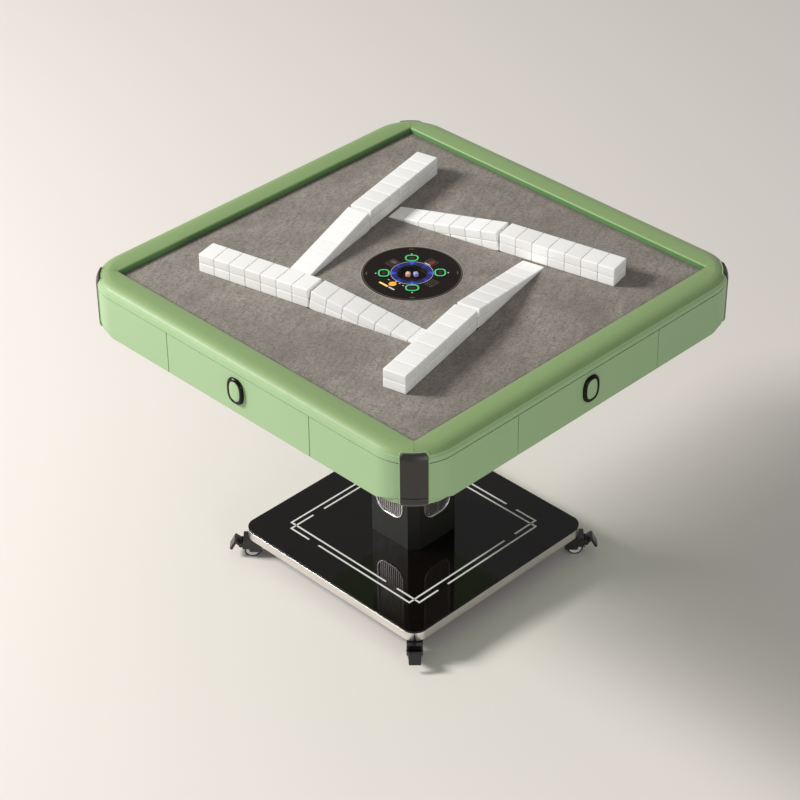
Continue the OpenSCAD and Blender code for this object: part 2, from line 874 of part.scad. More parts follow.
module chassis_frame() {
    color([0.3, 0.31, 0.33]) {
        translate([0, 0, beam_low]) linear_extrude(beam_h) difference() {
            round_square(fascia_in, corner_r);
            square(2 * beam_in, center = true);
        }
        for (i = [0:3]) on_side(i) translate([post_c - post_w / 2, post_c - post_w / 2, tray_floor])
            cube([post_w, post_w, beam_low - tray_floor + over]);
        for (k = [0, 1]) rotate([0, 0, quarter / 2 + quarter * k])
            translate([-post_c * sqrt(2), -post_w / 2, tray_floor])
            cube([2 * post_c * sqrt(2), post_w, floor_beam_h]);
        translate([0, 0, tray_floor]) cylinder(r = hub_plate_r, h = floor_beam_h);
    }
}

module column_outline(inset) {
    h = column - inset;
    c = column_chamfer - inset * (2 - sqrt(2));
    polygon([[-h + c, -h], [h - c, -h], [h, -h + c], [h, h - c],
        [h - c, h], [-h + c, h], [-h, h - c], [-h, -h + c]]);
}

// Outline of a grille window, drawn in by a clearance
module window(inset) {
    translate([0, window_mid]) rounded_plate(window_w, window_h, window_r, inset);
}

// Puts an outline drawn upright (y = height) on the column's face of side i, d deep from depth at
module on_face(i, at, d) {
    on_side(i) translate([0, -column + at, 0]) rotate([quarter, 0, 0])
        translate([0, 0, -d]) linear_extrude(d) children();
}

module column_shell() {
    color([0.16, 0.16, 0.16]) {
        difference() {
            translate([0, 0, column_low]) linear_extrude(column_top - air - column_low) difference() {
                column_outline(0);
                column_outline(column_t);
            }
            for (i = [0:3]) on_face(i, -over, column_t + 2 * over) window(0);
        }
        translate([0, 0, column_top]) linear_extrude(flange_t) round_square(flange_w / 2, column_chamfer);
    }
}

module grille_rims() {
    color([0.8, 0.8, 0.8]) for (i = [0:3]) on_face(i, -rim_out, rim_out + column_t) difference() {
        window(air);
        window(rim_w);
    }
}

// Ribbed grille behind the rim: a back plate that seats on the shell's inner face, with ribs
module column_grilles() {
    rib_pitch = (window_w - 2 * rim_w) / (rib_count + 1);
    color([0.5, 0.5, 0.5]) for (i = [0:3]) {
        on_face(i, column_t + air, grille_t) window(-grille_lap);
        on_face(i, column_t - rib_out, rib_out + 2 * air) intersection() {
            window(rim_w + air);
            for (k = [1:rib_count]) translate([k * rib_pitch - window_w / 2 + rim_w - rib_t / 2, window_z0])
                square([rib_t, window_h]);
        }
    }
}

// Puts a thing made at a caster's swivel axis, x outward, at corner i
module at_caster(i) {
    on_diagonal(i) translate([stem_c * sqrt(2), 0, 0]) children();
}

module base_plate() {
    color([0.2, 0.2, 0.2]) difference() {
        union() {
            translate([0, 0, caster_h]) linear_extrude(trim_h) difference() {
                round_square(plate_half, plate_r);
                round_square(plate_half - skirt_t, plate_r - skirt_t);
            }
            translate([0, 0, plate_top - plate_t]) linear_extrude(plate_t) round_square(plate_half, plate_r);
            translate([0, 0, caster_h]) linear_extrude(trim_h) intersection() {
                round_square(plate_half, plate_r);
                for (i = [0:3]) at_caster(i) rotate(quarter / 2) square(pad_w, center = true);
            }
        }
        for (i = [0:3]) at_caster(i) translate([0, 0, caster_h - over])
            cylinder(d = stem_d + 2 * run_gap, h = stem_l + air + over);
    }
}

module base_glass() {
    color([0.05, 0.05, 0.05]) translate([0, 0, plate_top]) linear_extrude(glass_t) difference() {
        round_square(base, base_r);
        column_outline(-air);
    }
}

// Trim bars round the plate, with an open joint at each corner that narrows upward
module base_trim() {
    color([0.83, 0.8, 0.76]) difference() {
        translate([0, 0, caster_h]) linear_extrude(trim_h) difference() {
            round_square(base, base_r);
            round_square(base - trim_t, base_r - trim_t);
        }
        for (i = [0:3]) on_diagonal(i) rotate([quarter, 0, quarter]) linear_extrude(base * 2)
            polygon([[-trim_joint / 2, caster_h - over], [trim_joint / 2, caster_h - over],
                [air, plate_top + over], [-air, plate_top + over]]);
    }
}

// Side view of the hood: a fender over the wheels, cheeks beside them and a flat-topped housing
module hood_profile() {
    intersection() {
        translate([caster_trail, axle_z]) circle(fender_r);
        union() {
            translate([-2 * fender_r, axle_z + fender_cut]) square([4 * fender_r, 2 * fender_r]);
            translate([-2 * fender_r, axle_z - cheek_drop])
                square([2 * fender_r + caster_trail + cheek_reach, 2 * fender_r]);
        }
    }
    translate([-hood_back, hood_low]) square([hood_back + hood_front, hood_top - hood_t - hood_low]);
}

// Hood with the fin between the wheels, the swivel stem and the pedal's lugs
module caster_hood(i) {
    color([0.09, 0.09, 0.09]) at_caster(i) difference() {
        union() {
            rotate([quarter, 0, 0]) translate([0, 0, -fender_w / 2]) linear_extrude(fender_w) hood_profile();
            translate([0, 0, hood_low]) cylinder(d = collar_d, h = hood_top - hood_low);
            translate([0, 0, hood_top - over]) cylinder(d = stem_d, h = stem_l + over);
            for (m = [-1, 1]) translate([pedal_pin_x, m * (pedal_w / 2 - lug_t / 2), pedal_pin_z])
                rotate([quarter, 0, 0]) translate([0, 0, -lug_t / 2]) {
                    cylinder(r = pedal_knuckle_r, h = lug_t);
                    translate([-fender_r / 2, -pedal_knuckle_r, 0])
                        cube([fender_r / 2, 2 * pedal_knuckle_r, lug_t]);
                }
        }
        translate([caster_trail, 0, axle_z]) rotate([-quarter, 0, 0]) {
            translate([0, 0, -fin_t]) cylinder(d = axle_d + 2 * run_gap, h = 2 * fin_t);
            // Room for the two wheels
            for (m = [-1, 1]) translate([0, 0, m * wheel_track / 2 - wheel_w / 2 - wheel_air])
                cylinder(r = wheel_r + fender_gap, h = wheel_w + 2 * wheel_air);
        }
        translate([pedal_pin_x, -pedal_w, pedal_pin_z]) rotate([-quarter, 0, 0])
            cylinder(d = pedal_pin_d + 2 * run_gap, h = 2 * pedal_w);
    }
}

module caster_wheels(i) {
    color([0.85, 0.85, 0.85]) at_caster(i) translate([caster_trail, 0, axle_z]) rotate([-quarter, 0, 0]) {
        translate([0, 0, -wheel_track / 2 - axle_end]) cylinder(d = axle_d, h = wheel_track + 2 * axle_end);
        for (m = [0, 1]) mirror([0, 0, m]) translate([0, 0, wheel_track / 2 - wheel_w / 2])
            rotate_extrude($fn = 96) difference() {
                translate([axle_d / 2 + run_gap, 0]) square([wheel_r - axle_d / 2 - run_gap, wheel_w]);
                translate([hub_d / 2, wheel_w - rim_dish])
                    square([wheel_r - tread_t - hub_d / 2, rim_dish + over]);
            }
    }
}

// Side view of the pedal beyond its lugs: an arm that rises and a toe plate that hangs from it
module pedal_profile() {
    bend = [arm_l * cos(arm_turn), arm_l * sin(arm_turn)];
    difference() {
        union() {
            rotate(arm_turn) translate([0, -pedal_t / 2]) square([arm_l, pedal_t]);
            translate(bend) circle(d = pedal_t + bend_lap);
            translate(bend) rotate(-toe_turn) translate([0, -pedal_t / 2]) square([toe_l, pedal_t]);
        }
        circle(pedal_knuckle_r + air);
    }
}

module brake_pedal(i) {
    reach = arm_l + toe_l;
    inner_w = pedal_w - 2 * lug_t - 2 * air;
    color([0.12, 0.12, 0.12]) at_caster(i) translate([pedal_pin_x, 0, pedal_pin_z]) {
        rotate([-quarter, 0, 0]) {
            translate([0, 0, -inner_w / 2]) cylinder(r = pedal_knuckle_r, h = inner_w);
            translate([0, 0, -pedal_w / 2]) cylinder(d = pedal_pin_d, h = pedal_w);
        }
        // Neck between the knuckle and the paddle, a step smaller than both
        rotate([0, -arm_turn, 0])
            translate([pedal_pin_d, pedal_step - inner_w / 2, pedal_step - pedal_t / 2])
            cube([pedal_knuckle_r + over - pedal_pin_d, inner_w - 2 * pedal_step, pedal_t - 2 * pedal_step]);
        // The paddle narrows from its root to its tip
        intersection() {
            rotate([quarter, 0, 0]) translate([0, 0, -pedal_w / 2]) linear_extrude(pedal_w) pedal_profile();
            translate([0, 0, -reach]) linear_extrude(2 * reach)
                polygon([[0, -pedal_w / 2], [reach, -toe_w / 2], [reach, toe_w / 2], [0, pedal_w / 2]]);
        }
    }
}

rail_frame();
corner_caps();
corner_fascias();
table_board();
felt_top();
standing_tiles();
drawer_runners();
console_plate();
dice_dome();
light_ring();
dice();
riser_guide();
shuffle_pan();
drive_wheel();
drive_units();
tile_conveyors();
chassis_frame();
body_tray();
column_shell();
column_grilles();
grille_rims();
base_plate();
base_glass();
base_trim();
for (i = [0:3]) {
    drawer_face(i);
    drawer_box(i);
    drawer_knob(i);
    ramp(i);
    ramp_tiles(i);
    button(i);
    caster_hood(i);
    caster_wheels(i);
    brake_pedal(i);
}
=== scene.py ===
import bpy, bmesh, json, math
from mathutils import Matrix, Vector


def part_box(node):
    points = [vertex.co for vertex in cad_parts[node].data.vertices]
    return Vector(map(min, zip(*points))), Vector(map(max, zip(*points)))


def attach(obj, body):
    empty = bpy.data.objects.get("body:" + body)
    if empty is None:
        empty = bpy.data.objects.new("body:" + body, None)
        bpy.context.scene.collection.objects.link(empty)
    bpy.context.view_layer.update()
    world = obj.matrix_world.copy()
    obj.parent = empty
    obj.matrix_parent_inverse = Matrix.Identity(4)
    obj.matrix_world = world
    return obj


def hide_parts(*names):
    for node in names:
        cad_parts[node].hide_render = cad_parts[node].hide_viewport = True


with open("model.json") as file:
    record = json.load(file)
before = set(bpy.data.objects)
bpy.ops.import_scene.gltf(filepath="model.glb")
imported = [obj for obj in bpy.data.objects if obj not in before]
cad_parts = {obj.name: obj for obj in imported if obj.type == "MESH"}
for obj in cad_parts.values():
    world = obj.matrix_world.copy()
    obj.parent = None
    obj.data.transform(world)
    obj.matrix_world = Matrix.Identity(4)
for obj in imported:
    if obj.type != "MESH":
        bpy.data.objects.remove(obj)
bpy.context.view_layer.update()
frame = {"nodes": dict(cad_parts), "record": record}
NODES = frame["nodes"]
RECORD = frame["record"]
SIDES = ["front", "right", "back", "left"]
CORNERS = ["front_right", "back_right", "back_left", "front_left"]
BODY_OF = {n: b for b, ns in RECORD["behaviour"]["bodies"].items() for n in ns}
scene = bpy.context.scene
coll = scene.collection


def low(node, axis):
    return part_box(node)[0][axis]


def high(node, axis):
    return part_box(node)[1][axis]


def mid(node, axis):
    return (low(node, axis) + high(node, axis)) / 2


# Sizes that the pieces are built on, in metres, as in the part's source
AIR = 0.0003
BODY = high("rail_frame", 0)
CROWN = high("rail_frame", 2)
FELT = high("felt_top", 2)
WELL = high("felt_top", 0) + AIR
# Distance of the body's rounded corners' axes from the middle, along x and y
AXIS = 0.385
# Rail: underside of its outer part and of its inner part, the step between them, and the height of the roll
RAIL_LOW = 0.716
RAIL_BASE = 0.7135
RAIL_STEP = BODY - 0.0123
ROLL = 0.022
# Knob: middle height, and how far it stands out
KNOB_Z = mid("drawer_knob_front", 2)
KNOB_OUT = -BODY - low("drawer_knob_front", 1)
CONSOLE = high("console_plate", 2)
GLASS = high("base_glass", 2)
# Casters: distance of the stem from the middle, trail, axle height, and the wheels' sizes
STEM = 0.2484 * math.sqrt(2)
TRAIL = 0.006
AXLE_Z = 0.018
WHEEL_R = 0.018
WHEEL_W = 0.009
TRACK = 0.020

# Camera fitted to the photograph: angles in degrees, distances in metres, focal length in pixels
CAM_TILT = 34.8593
CAM_TURN = 45.1981
CAM_ROLL = -0.5504
CAM_DISTANCE = 4.9949
CAM_RIGHT = -0.02716
CAM_UP = -0.26896
CAM_LOOK_Z = 0.738
CAM_FOCAL = 2433.7
CAM_FAR = 60
IMAGE_WIDTH = 800
SENSOR_WIDTH = 36


def camera():
    e, a, r = math.radians(CAM_TILT), math.radians(CAM_TURN), math.radians(CAM_ROLL)
    back = Vector((math.sin(a) * math.cos(e), -math.cos(a) * math.cos(e), math.sin(e)))
    right = (-back).cross(Vector((0, 0, 1))).normalized()
    up = right.cross(-back)
    pos = back * CAM_DISTANCE + right * CAM_RIGHT + up * CAM_UP + Vector((0, 0, CAM_LOOK_Z))
    right, up = right * math.cos(r) + up * math.sin(r), up * math.cos(r) - right * math.sin(r)
    cam = bpy.data.cameras.new("camera")
    cam.sensor_fit = 'HORIZONTAL'
    cam.sensor_width = SENSOR_WIDTH
    cam.lens = CAM_FOCAL * SENSOR_WIDTH / IMAGE_WIDTH
    cam.clip_end = CAM_FAR
    o = bpy.data.objects.new("camera", cam)
    m = Matrix((right, up, back)).transposed().to_4x4()
    m.translation = pos
    o.matrix_world = m
    coll.objects.link(o)
    scene.camera = o


camera()


# Materials
def linear(c):
    """Linear value of an sRGB channel from 0 to 255."""
    return c / 255 / 12.92 if c <= 10.31 else ((c / 255 + 0.055) / 1.055) ** 2.4


def srgb(r, g, b):
    return (linear(r), linear(g), linear(b), 1.0)


def scaled(c, k):
    return (c[0] * k, c[1] * k, c[2] * k, 1.0)


class Mat:
    """A node material; m is the material, t its node tree, b its shader, co its coordinates."""

    def __init__(self, name, color, rough=0.5, metal=0.0, **sockets):
        self.m = bpy.data.materials.new(name)
        self.m.use_nodes = True
        self.t = self.m.node_tree
        self.b = self.t.nodes["Principled BSDF"]
        self.b.inputs["Base Color"].default_value = color
        self.b.inputs["Roughness"].default_value = rough
        self.b.inputs["Metallic"].default_value = metal
        for k, v in sockets.items():
            self.b.inputs[k.replace("_", " ")].default_value = v
        self.m.diffuse_color = color
        self.co = None

    def node(self, kind, **kw):
        n = self.t.nodes.new(kind)
        for k, v in kw.items():
            setattr(n, k, v)
        return n

    def feed(self, socket, v):
        if hasattr(v, "is_output"):
            self.t.links.new(v, socket)
        else:
            socket.default_value = v

    def coords(self, stretch=(1, 1, 1), deg=0):
        """Object coordinates, drawn out by the stretch along axes turned by deg about z."""
        if self.co is None:
            self.co = self.node("ShaderNodeTexCoord")
        mp = self.node("ShaderNodeMapping", vector_type='TEXTURE')
        mp.inputs["Scale"].default_value = stretch
        mp.inputs["Rotation"].default_value = (0, 0, math.radians(deg))
        self.feed(mp.inputs["Vector"], self.co.outputs["Object"])
        return mp.outputs["Vector"]

    def noise(self, scale, detail=4, rough=0.55, at=None, distort=0.0):
        n = self.node("ShaderNodeTexNoise")
        n.inputs["Scale"].default_value = scale
        n.inputs["Detail"].default_value = detail
        n.inputs["Roughness"].default_value = rough
        n.inputs["Distortion"].default_value = distort
        self.feed(n.inputs["Vector"], at or self.coords())
        return n.outputs["Fac"]

    def ramp(self, fac, stops):
        r = self.node("ShaderNodeValToRGB")
        el = r.color_ramp.elements
        while len(el) < len(stops):
            el.new(0.5)
        for e, (p, c) in zip(el, stops):
            e.position, e.color = p, c
        self.feed(r.inputs["Fac"], fac)
        return r.outputs["Color"]

    def math(self, op, a, b=0.0):
        n = self.node("ShaderNodeMath", operation=op)
        self.feed(n.inputs[0], a)
        self.feed(n.inputs[1], b)
        return n.outputs["Value"]

    def mix(self, fac, a, b):
        """Colour a where fac is 0, b where it is 1; the sockets go by number, as their names repeat."""
        n = self.node("ShaderNodeMix", data_type='RGBA')
        for i, v in ((0, fac), (6, a), (7, b)):
            self.feed(n.inputs[i], v)
        return n.outputs[2]

    def range(self, fac, a, b, start=0.0, end=1.0):
        """Maps fac from start..end to a..b."""
        n = self.node("ShaderNodeMapRange")
        for k, v in (("Value", fac), ("From Min", start), ("From Max", end), ("To Min", a), ("To Max", b)):
            self.feed(n.inputs[k], v)
        return n.outputs["Result"]

    def color(self, c):
        self.feed(self.b.inputs["Base Color"], c)

    def rough(self, fac, a, b):
        self.feed(self.b.inputs["Roughness"], self.range(fac, a, b))

    def bump(self, h, strength, dist=0.001):
        n = self.node("ShaderNodeBump")
        n.inputs["Strength"].default_value = strength
        n.inputs["Distance"].default_value = dist
        self.feed(n.inputs["Height"], h)
        last = self.b.inputs["Normal"].links
        if last:
            self.feed(n.inputs["Normal"], last[0].from_socket)
        self.feed(self.b.inputs["Normal"], n.outputs["Normal"])


def lacquer(name, c, rough, coat, sheen=0.0, gloss=0.5):
    """Satin lacquer: faint tone drift, fine orange peel and a coat."""
    m = Mat(name, c, rough, Coat_Weight=coat, Coat_Roughness=0.4, Sheen_Weight=sheen, Sheen_Roughness=0.45,
            Specular_IOR_Level=gloss)
    m.color(m.ramp(m.noise(3.0, 3), [(0.3, scaled(c, 0.97)), (0.7, scaled(c, 1.03))]))
    m.rough(m.noise(38, 4), rough - 0.05, rough + 0.06)
    m.bump(m.noise(420, 2), 0.06, 0.0004)
    m.bump(m.noise(60, 2), 0.04, 0.0006)
    return m.m


def plastic(name, c, rough=0.45, grain=1100, strength=0.12, coat=0.0, var=0.06, gloss=0.5):
    m = Mat(name, c, rough, Coat_Weight=coat, Coat_Roughness=0.12, Specular_IOR_Level=gloss)
    m.color(m.ramp(m.noise(9, 4), [(0.3, scaled(c, 1 - var)), (0.7, scaled(c, 1 + var))]))
    m.rough(m.noise(55, 5), rough - 0.06, rough + 0.08)
    m.bump(m.noise(grain, 3), strength, 0.0003)
    return m.m


def metal(name, c, rough=0.3, stretch=(1, 1, 1), strength=0.05, paint=False):
    m = Mat(name, c, rough, 0.0 if paint else 1.0)
    v = m.coords(stretch)
    n = m.noise(90, 6, 0.6, v)
    m.color(m.ramp(n, [(0.25, scaled(c, 0.86)), (0.75, scaled(c, 1.06))]))
    m.rough(n, rough - 0.07, rough + 0.1)
    m.bump(m.noise(320, 5, 0.7, v), strength, 0.0003)
    return m.m


def felt_material():
    """Brushed short pile: clouds where the nap lies over, streaks along the brushing, fine fibres, and
    painted shade along the rails.
    """
    m = Mat("felt", srgb(138, 130, 122), 0.95, Sheen_Weight=0.1, Sheen_Roughness=0.5)
    cloud = m.noise(7, 4, 0.6, distort=0.8)
    streak = m.noise(90, 6, 0.7, m.coords((3.5, 1, 1), 115), 1.2)
    nap = m.noise(230, 4, 0.8, m.coords((1.5, 1, 1), 30), 0.6)
    fibre = m.noise(520, 3, 0.8)
    base = m.ramp(cloud, [(0.30, srgb(129, 121, 112)), (0.5, srgb(146, 138, 129)),
                          (0.72, srgb(163, 155, 145))])
    worn = m.mix(m.range(streak, 0.0, 0.6, 0.44, 0.68), base, srgb(98, 91, 83))
    worn = m.mix(m.range(nap, 0.0, 0.8, 0.47, 0.64), worn, srgb(92, 85, 77))
    worn = m.mix(m.range(fibre, 0.0, 0.45, 0.45, 0.7), worn, srgb(84, 77, 70))
    # Painted shade: within 16 mm of the rails the felt's colour is mixed toward a dark brown, more than
    # halfway at the rails.
    sep = m.node("ShaderNodeSeparateXYZ")
    m.feed(sep.inputs[0], m.coords())
    reach = m.math('MAXIMUM', m.math('ABSOLUTE', sep.outputs[0]), m.math('ABSOLUTE', sep.outputs[1]))
    painted_shade_by_rails = m.range(reach, 0.0, 0.55, WELL - 0.016, WELL - 0.002)
    m.color(m.mix(painted_shade_by_rails, worn, srgb(62, 55, 48)))
    m.bump(fibre, 0.5, 0.0006)
    m.bump(nap, 0.5, 0.0010)
    m.bump(streak, 0.3, 0.0010)
    return m.m


def tile_material():
    m = Mat("tile", srgb(245, 244, 241), 0.25, Coat_Weight=0.1, Coat_Roughness=0.1, Subsurface_Weight=0.3,
            Subsurface_Radius=(1.0, 1.0, 0.95), Subsurface_Scale=0.006)
    geo = m.node("ShaderNodeNewGeometry")
    base = m.ramp(geo.outputs["Random Per Island"],
                  [(0.0, srgb(239, 238, 234)), (0.5, srgb(244, 243, 240)), (1.0, srgb(248, 247, 245))])
    vein = m.noise(26, 5, 0.6, distort=1.2)
    m.color(m.mix(m.range(vein, 0.0, 0.08), base, srgb(214, 213, 210)))
    m.rough(m.noise(60, 3), 0.17, 0.28)
    return m.m


def wood_material():
    m = Mat("plywood", srgb(186, 152, 110), 0.6)
    g = m.noise(28, 8, 0.6, m.coords((9, 1, 9)), 1.2)
    m.color(m.ramp(g, [(0.3, srgb(160, 122, 82)), (0.55, srgb(190, 154, 110)), (0.75, srgb(206, 172, 128))]))
    m.rough(g, 0.5, 0.72)
    m.bump(g, 0.2, 0.0006)
    return m.m


def lit(name, c, strength, rough=0.3):
    """Print or plastic with a light behind it; on the dice the same glow is painted, as no light is in them.
    """
    m = Mat(name, c, rough, Emission_Color=c, Emission_Strength=strength)
    n = m.noise(300, 2)
    m.color(m.ramp(n, [(0.3, scaled(c, 0.85)), (0.7, scaled(c, 1.1))]))
    m.rough(m.noise(40, 3), rough - 0.05, rough + 0.06)
    return m.m


def ring_material():
    """Blue light ring: eight brighter spots round it, four of them stronger, fading outward."""
    dark, bright = srgb(14, 18, 96), srgb(52, 80, 220)
    m = Mat("ring_blue", dark, 0.3, Emission_Strength=0.4)
    sep = m.node("ShaderNodeSeparateXYZ")
    m.feed(sep.inputs[0], m.coords())
    turn = m.math('ARCTAN2', sep.outputs[1], sep.outputs[0])
    wave = m.math('COSINE', m.math('MULTIPLY', turn, 8.0))
    spot = m.math('MULTIPLY', m.math('POWER', m.math('MAXIMUM', wave, 0.0), 3.0), 0.6)
    four = m.math('COSINE', m.math('ADD', m.math('MULTIPLY', turn, 4.0), math.pi))
    spot = m.math('ADD', spot, m.math('MULTIPLY', m.math('POWER', m.math('MAXIMUM', four, 0.0), 4.0), 0.4))
    radius = m.node("ShaderNodeVectorMath", operation='LENGTH')
    m.feed(radius.inputs[0], m.coords((1, 1, 1e6)))
    fade = m.range(radius.outputs["Value"], 0.75, 0.0, 0.032, 0.041)
    c = m.mix(fade, m.ramp(spot, [(0.0, dark), (0.45, srgb(26, 42, 156)), (1.0, bright)]), srgb(8, 10, 40))
    m.color(c)
    m.feed(m.b.inputs["Emission Color"], c)
    m.rough(m.noise(60, 3), 0.24, 0.36)
    return m.m


def glass_black():
    m = Mat("base_glass", srgb(12, 9, 8), 0.045, Specular_IOR_Level=0.3)
    m.color(m.ramp(m.noise(6, 3), [(0.3, srgb(10, 7, 6)), (0.7, srgb(15, 11, 9))]))
    m.rough(m.noise(14, 4), 0.03, 0.075)
    return m.m


def clear():
    m = Mat("dome_clear", srgb(44, 42, 36), 0.08, Alpha=0.06)
    m.rough(m.noise(30, 2), 0.05, 0.12)
    return m.m


M = {
    # The rail's top is a darker copy of the panel's green, painted shade
    "rail": lacquer("rail_green", srgb(127, 154, 96), 0.56, 0.1, 0.1, 0.75),
    # The rail's inner lip is a darker green still, painted shade
    "lip": lacquer("lip_shaded_green", srgb(88, 134, 74), 0.55, 0.0),
    "panel": lacquer("panel_green", srgb(145, 176, 127), 0.45, 0.15, 0.2),
    "tray": lacquer("tray_green", srgb(144, 176, 124), 0.5, 0.1),
    "cap": plastic("cap_dark", srgb(38, 34, 32), 0.40, 900, 0.08, 0.1),
    "felt": felt_material(),
    "lining": plastic("drawer_lining", srgb(52, 52, 54), 0.9, 1500, 0.5),
    "tile": tile_material(),
    "board": wood_material(),
    "disc": plastic("console_black", srgb(27, 19, 15), 0.4, 700, 0.02, 0.0, 0.12, 0.12),
    "rim": plastic("console_rim", srgb(84, 75, 66), 0.5, 700, 0.02, 0.0, 0.1, 0.3),
    "knob": plastic("knob_black", srgb(4, 4, 4), 0.12, 900, 0.01, 0.0, 0.1, 0.2),
    "black": plastic("black_satin", srgb(20, 19, 19), 0.34, 900, 0.08, 0.2),
    "box": plastic("box_grey", srgb(70, 71, 73), 0.55, 1400, 0.25),
    "pan": plastic("pan_black", srgb(34, 34, 36), 0.5, 1200, 0.2),
    "hood": plastic("hood_black", srgb(21, 20, 20), 0.33, 900, 0.08, 0.25),
    "rubber": plastic("rubber", srgb(26, 26, 26), 0.8, 700, 0.3),
    "steel": metal("zinc_steel", (0.55, 0.55, 0.54, 1), 0.34, (1, 1, 8)),
    "chassis": metal("chassis_paint", srgb(58, 60, 62), 0.5, (1, 1, 1), 0.1, True),
    "column": metal("column_paint", srgb(22, 21, 17), 0.48, (1, 1, 3), 0.06, True),
    "chrome": metal("rim_bright", (0.90, 0.89, 0.88, 1), 0.28, (1, 1, 1), 0.01),
    "grille": metal("grille", (0.50, 0.47, 0.47, 1), 0.34, (1, 1, 4), 0.04),
    "trim": metal("trim", (0.84, 0.81, 0.78, 1), 0.30, (9, 9, 1), 0.04),
    "wheel": plastic("wheel_grey", srgb(205, 205, 203), 0.3, 900, 0.04, 0.3),
    "glass": glass_black(),
    "clear": clear(),
    "ring_blue": ring_material(),
    "ring_green": lit("ring_green", srgb(56, 186, 104), 0.45),
    "white": lit("mark_white", srgb(206, 200, 198), 0.15),
    "red": lit("mark_red", srgb(120, 34, 24), 0.15),
    "dim": plastic("mark_dim", srgb(92, 86, 80), 0.35, 900, 0.05),
    "olive": plastic("mark_olive", srgb(74, 66, 40), 0.35, 900, 0.05),
    "dark": plastic("mark_dark", srgb(50, 22, 18), 0.3, 900, 0.05),
    "orange": lit("mark_orange", srgb(244, 160, 48), 0.45),
    "yellow": lit("mark_yellow", srgb(240, 214, 120), 0.35),
    "line": plastic("line_white", srgb(214, 212, 210), 0.4, 900, 0.03),
    "collar": plastic("console_collar", srgb(158, 150, 143), 0.45, 900, 0.06),
    # The dice glow too, though no light is in them: painted glow
    "pink": lit("dice_pink_painted_glow", srgb(240, 190, 170), 0.25),
    "lilac": lit("dice_lilac_painted_glow", srgb(170, 168, 230), 0.25),
}

LOOK = {"rail_frame": "rail", "corner_caps": "cap", "corner_fascias": "panel", "table_board": "board",
        "felt_top": "felt", "standing_tiles": "tile", "drawer_runners": "steel", "console_plate": "disc",
        "dice_dome": "clear", "light_ring": "ring_blue", "dice": "pink", "riser_guide": "steel",
        "shuffle_pan": "pan", "drive_wheel": "rubber", "drive_units": "chassis", "tile_conveyors": "steel",
        "chassis_frame": "chassis", "body_tray": "tray", "column_shell": "column", "column_grilles": "grille",
        "grille_rims": "chrome", "base_plate": "chassis", "base_glass": "glass", "base_trim": "trim"}
for s in SIDES:
    LOOK.update({"drawer_face_" + s: "panel", "drawer_box_" + s: "box", "drawer_knob_" + s: "knob",
                 "ramp_" + s: "black", "ramp_tiles_" + s: "tile", "button_" + s: "disc"})
for c in CORNERS:
    LOOK.update({"caster_hood_" + c: "hood", "caster_wheels_" + c: "wheel", "brake_pedal_" + c: "hood"})
for n, m in LOOK.items():
    for slot in NODES[n].material_slots:
        slot.material = M[m]


# Pieces; an edge whose faces meet at more than this angle, in radians, is rounded
SHARP = 0.6


def shade(me, limit):
    """Smooth normals weighted by area, so that flat faces stay flat between rounded edges.

    Faces that meet at more than limit, in radians, keep a hard edge.
    """
    me.polygons.foreach_set("use_smooth", [True] * len(me.polygons))
    around = [[] for _ in me.vertices]
    for p in me.polygons:
        for v in p.vertices:
            around[v].append(p.index)
    normal = [p.normal.copy() for p in me.polygons]
    area = [p.area for p in me.polygons]
    near = math.cos(limit)
    out = []
    for p in me.polygons:
        for v in p.vertices:
            n = Vector()
            for f in around[v]:
                if normal[f].dot(normal[p.index]) > near:
                    n += normal[f] * area[f]
            out.append(n.normalized() if n.length > 1e-14 else p.normal.copy())
    me.normals_split_custom_set(out)


def piece(name, bm, body, mat, limit=0.9, replaces=()):
    """Turns a bmesh into a piece that rides on a body."""
    bmesh.ops.remove_doubles(bm, verts=bm.verts, dist=1e-7)
    bmesh.ops.recalc_face_normals(bm, faces=bm.faces)
    me = bpy.data.meshes.new(name)
    bm.to_mesh(me)
    bm.free()
    shade(me, limit)
    me.materials.append(M[mat])
    o = bpy.data.objects.new(name, me)
    coll.objects.link(o)
    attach(o, body)
    if replaces:
        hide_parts(*replaces)
    return o


def islands(node):
    """The separate solids of a CAD node, as bmeshes with flat faces joined."""
    src = bmesh.new()
    src.from_mesh(NODES[node].data)
    bmesh.ops.remove_doubles(src, verts=src.verts, dist=2e-6)
    src.verts.ensure_lookup_table()
    seen, out = set(), []
    for v in src.verts:
        if v.index in seen:
            continue
        group, stack = [], [v]
        seen.add(v.index)
        while stack:
            u = stack.pop()
            group.append(u)
            for e in u.link_edges:
                w = e.other_vert(u)
                if w.index not in seen:
                    seen.add(w.index)
                    stack.append(w)
        bm = bmesh.new()
        new = {u.index: bm.verts.new(u.co) for u in group}
        faces = {f for u in group for f in u.link_faces}
        for f in sorted(faces, key=lambda f: f.index):
            bm.faces.new([new[u.index] for u in f.verts])
        bmesh.ops.dissolve_limit(bm, angle_limit=0.01, verts=bm.verts, edges=bm.edges)
        out.append(bm)
    src.free()
    return out


def join(parts):
    out = bmesh.new()
    for bm in parts:
        me = bpy.data.meshes.new("join")
        bm.to_mesh(me)
        bm.free()
        out.from_mesh(me)
        bpy.data.meshes.remove(me)
    return out


def dress(node, width=0.0, pick=None):
    """Smooth copy of a CAD node with its sharp edges rounded; it replaces the node. pick chooses solids."""
    parts = []
    for bm in islands(node):
        if pick and not pick(bm):
            bm.free()
            continue
        if width:
            edges = [e for e in bm.edges if len(e.link_faces) == 2 and e.calc_face_angle(0) > SHARP]
            bmesh.ops.bevel(bm, geom=edges, offset=width, offset_type='OFFSET', segments=2, profile=0.5,
                            affect='EDGES', clamp_overlap=True)
        parts.append(bm)
    piece(node + "_dressed", join(parts), BODY_OF[node], LOOK[node], replaces=(node,))


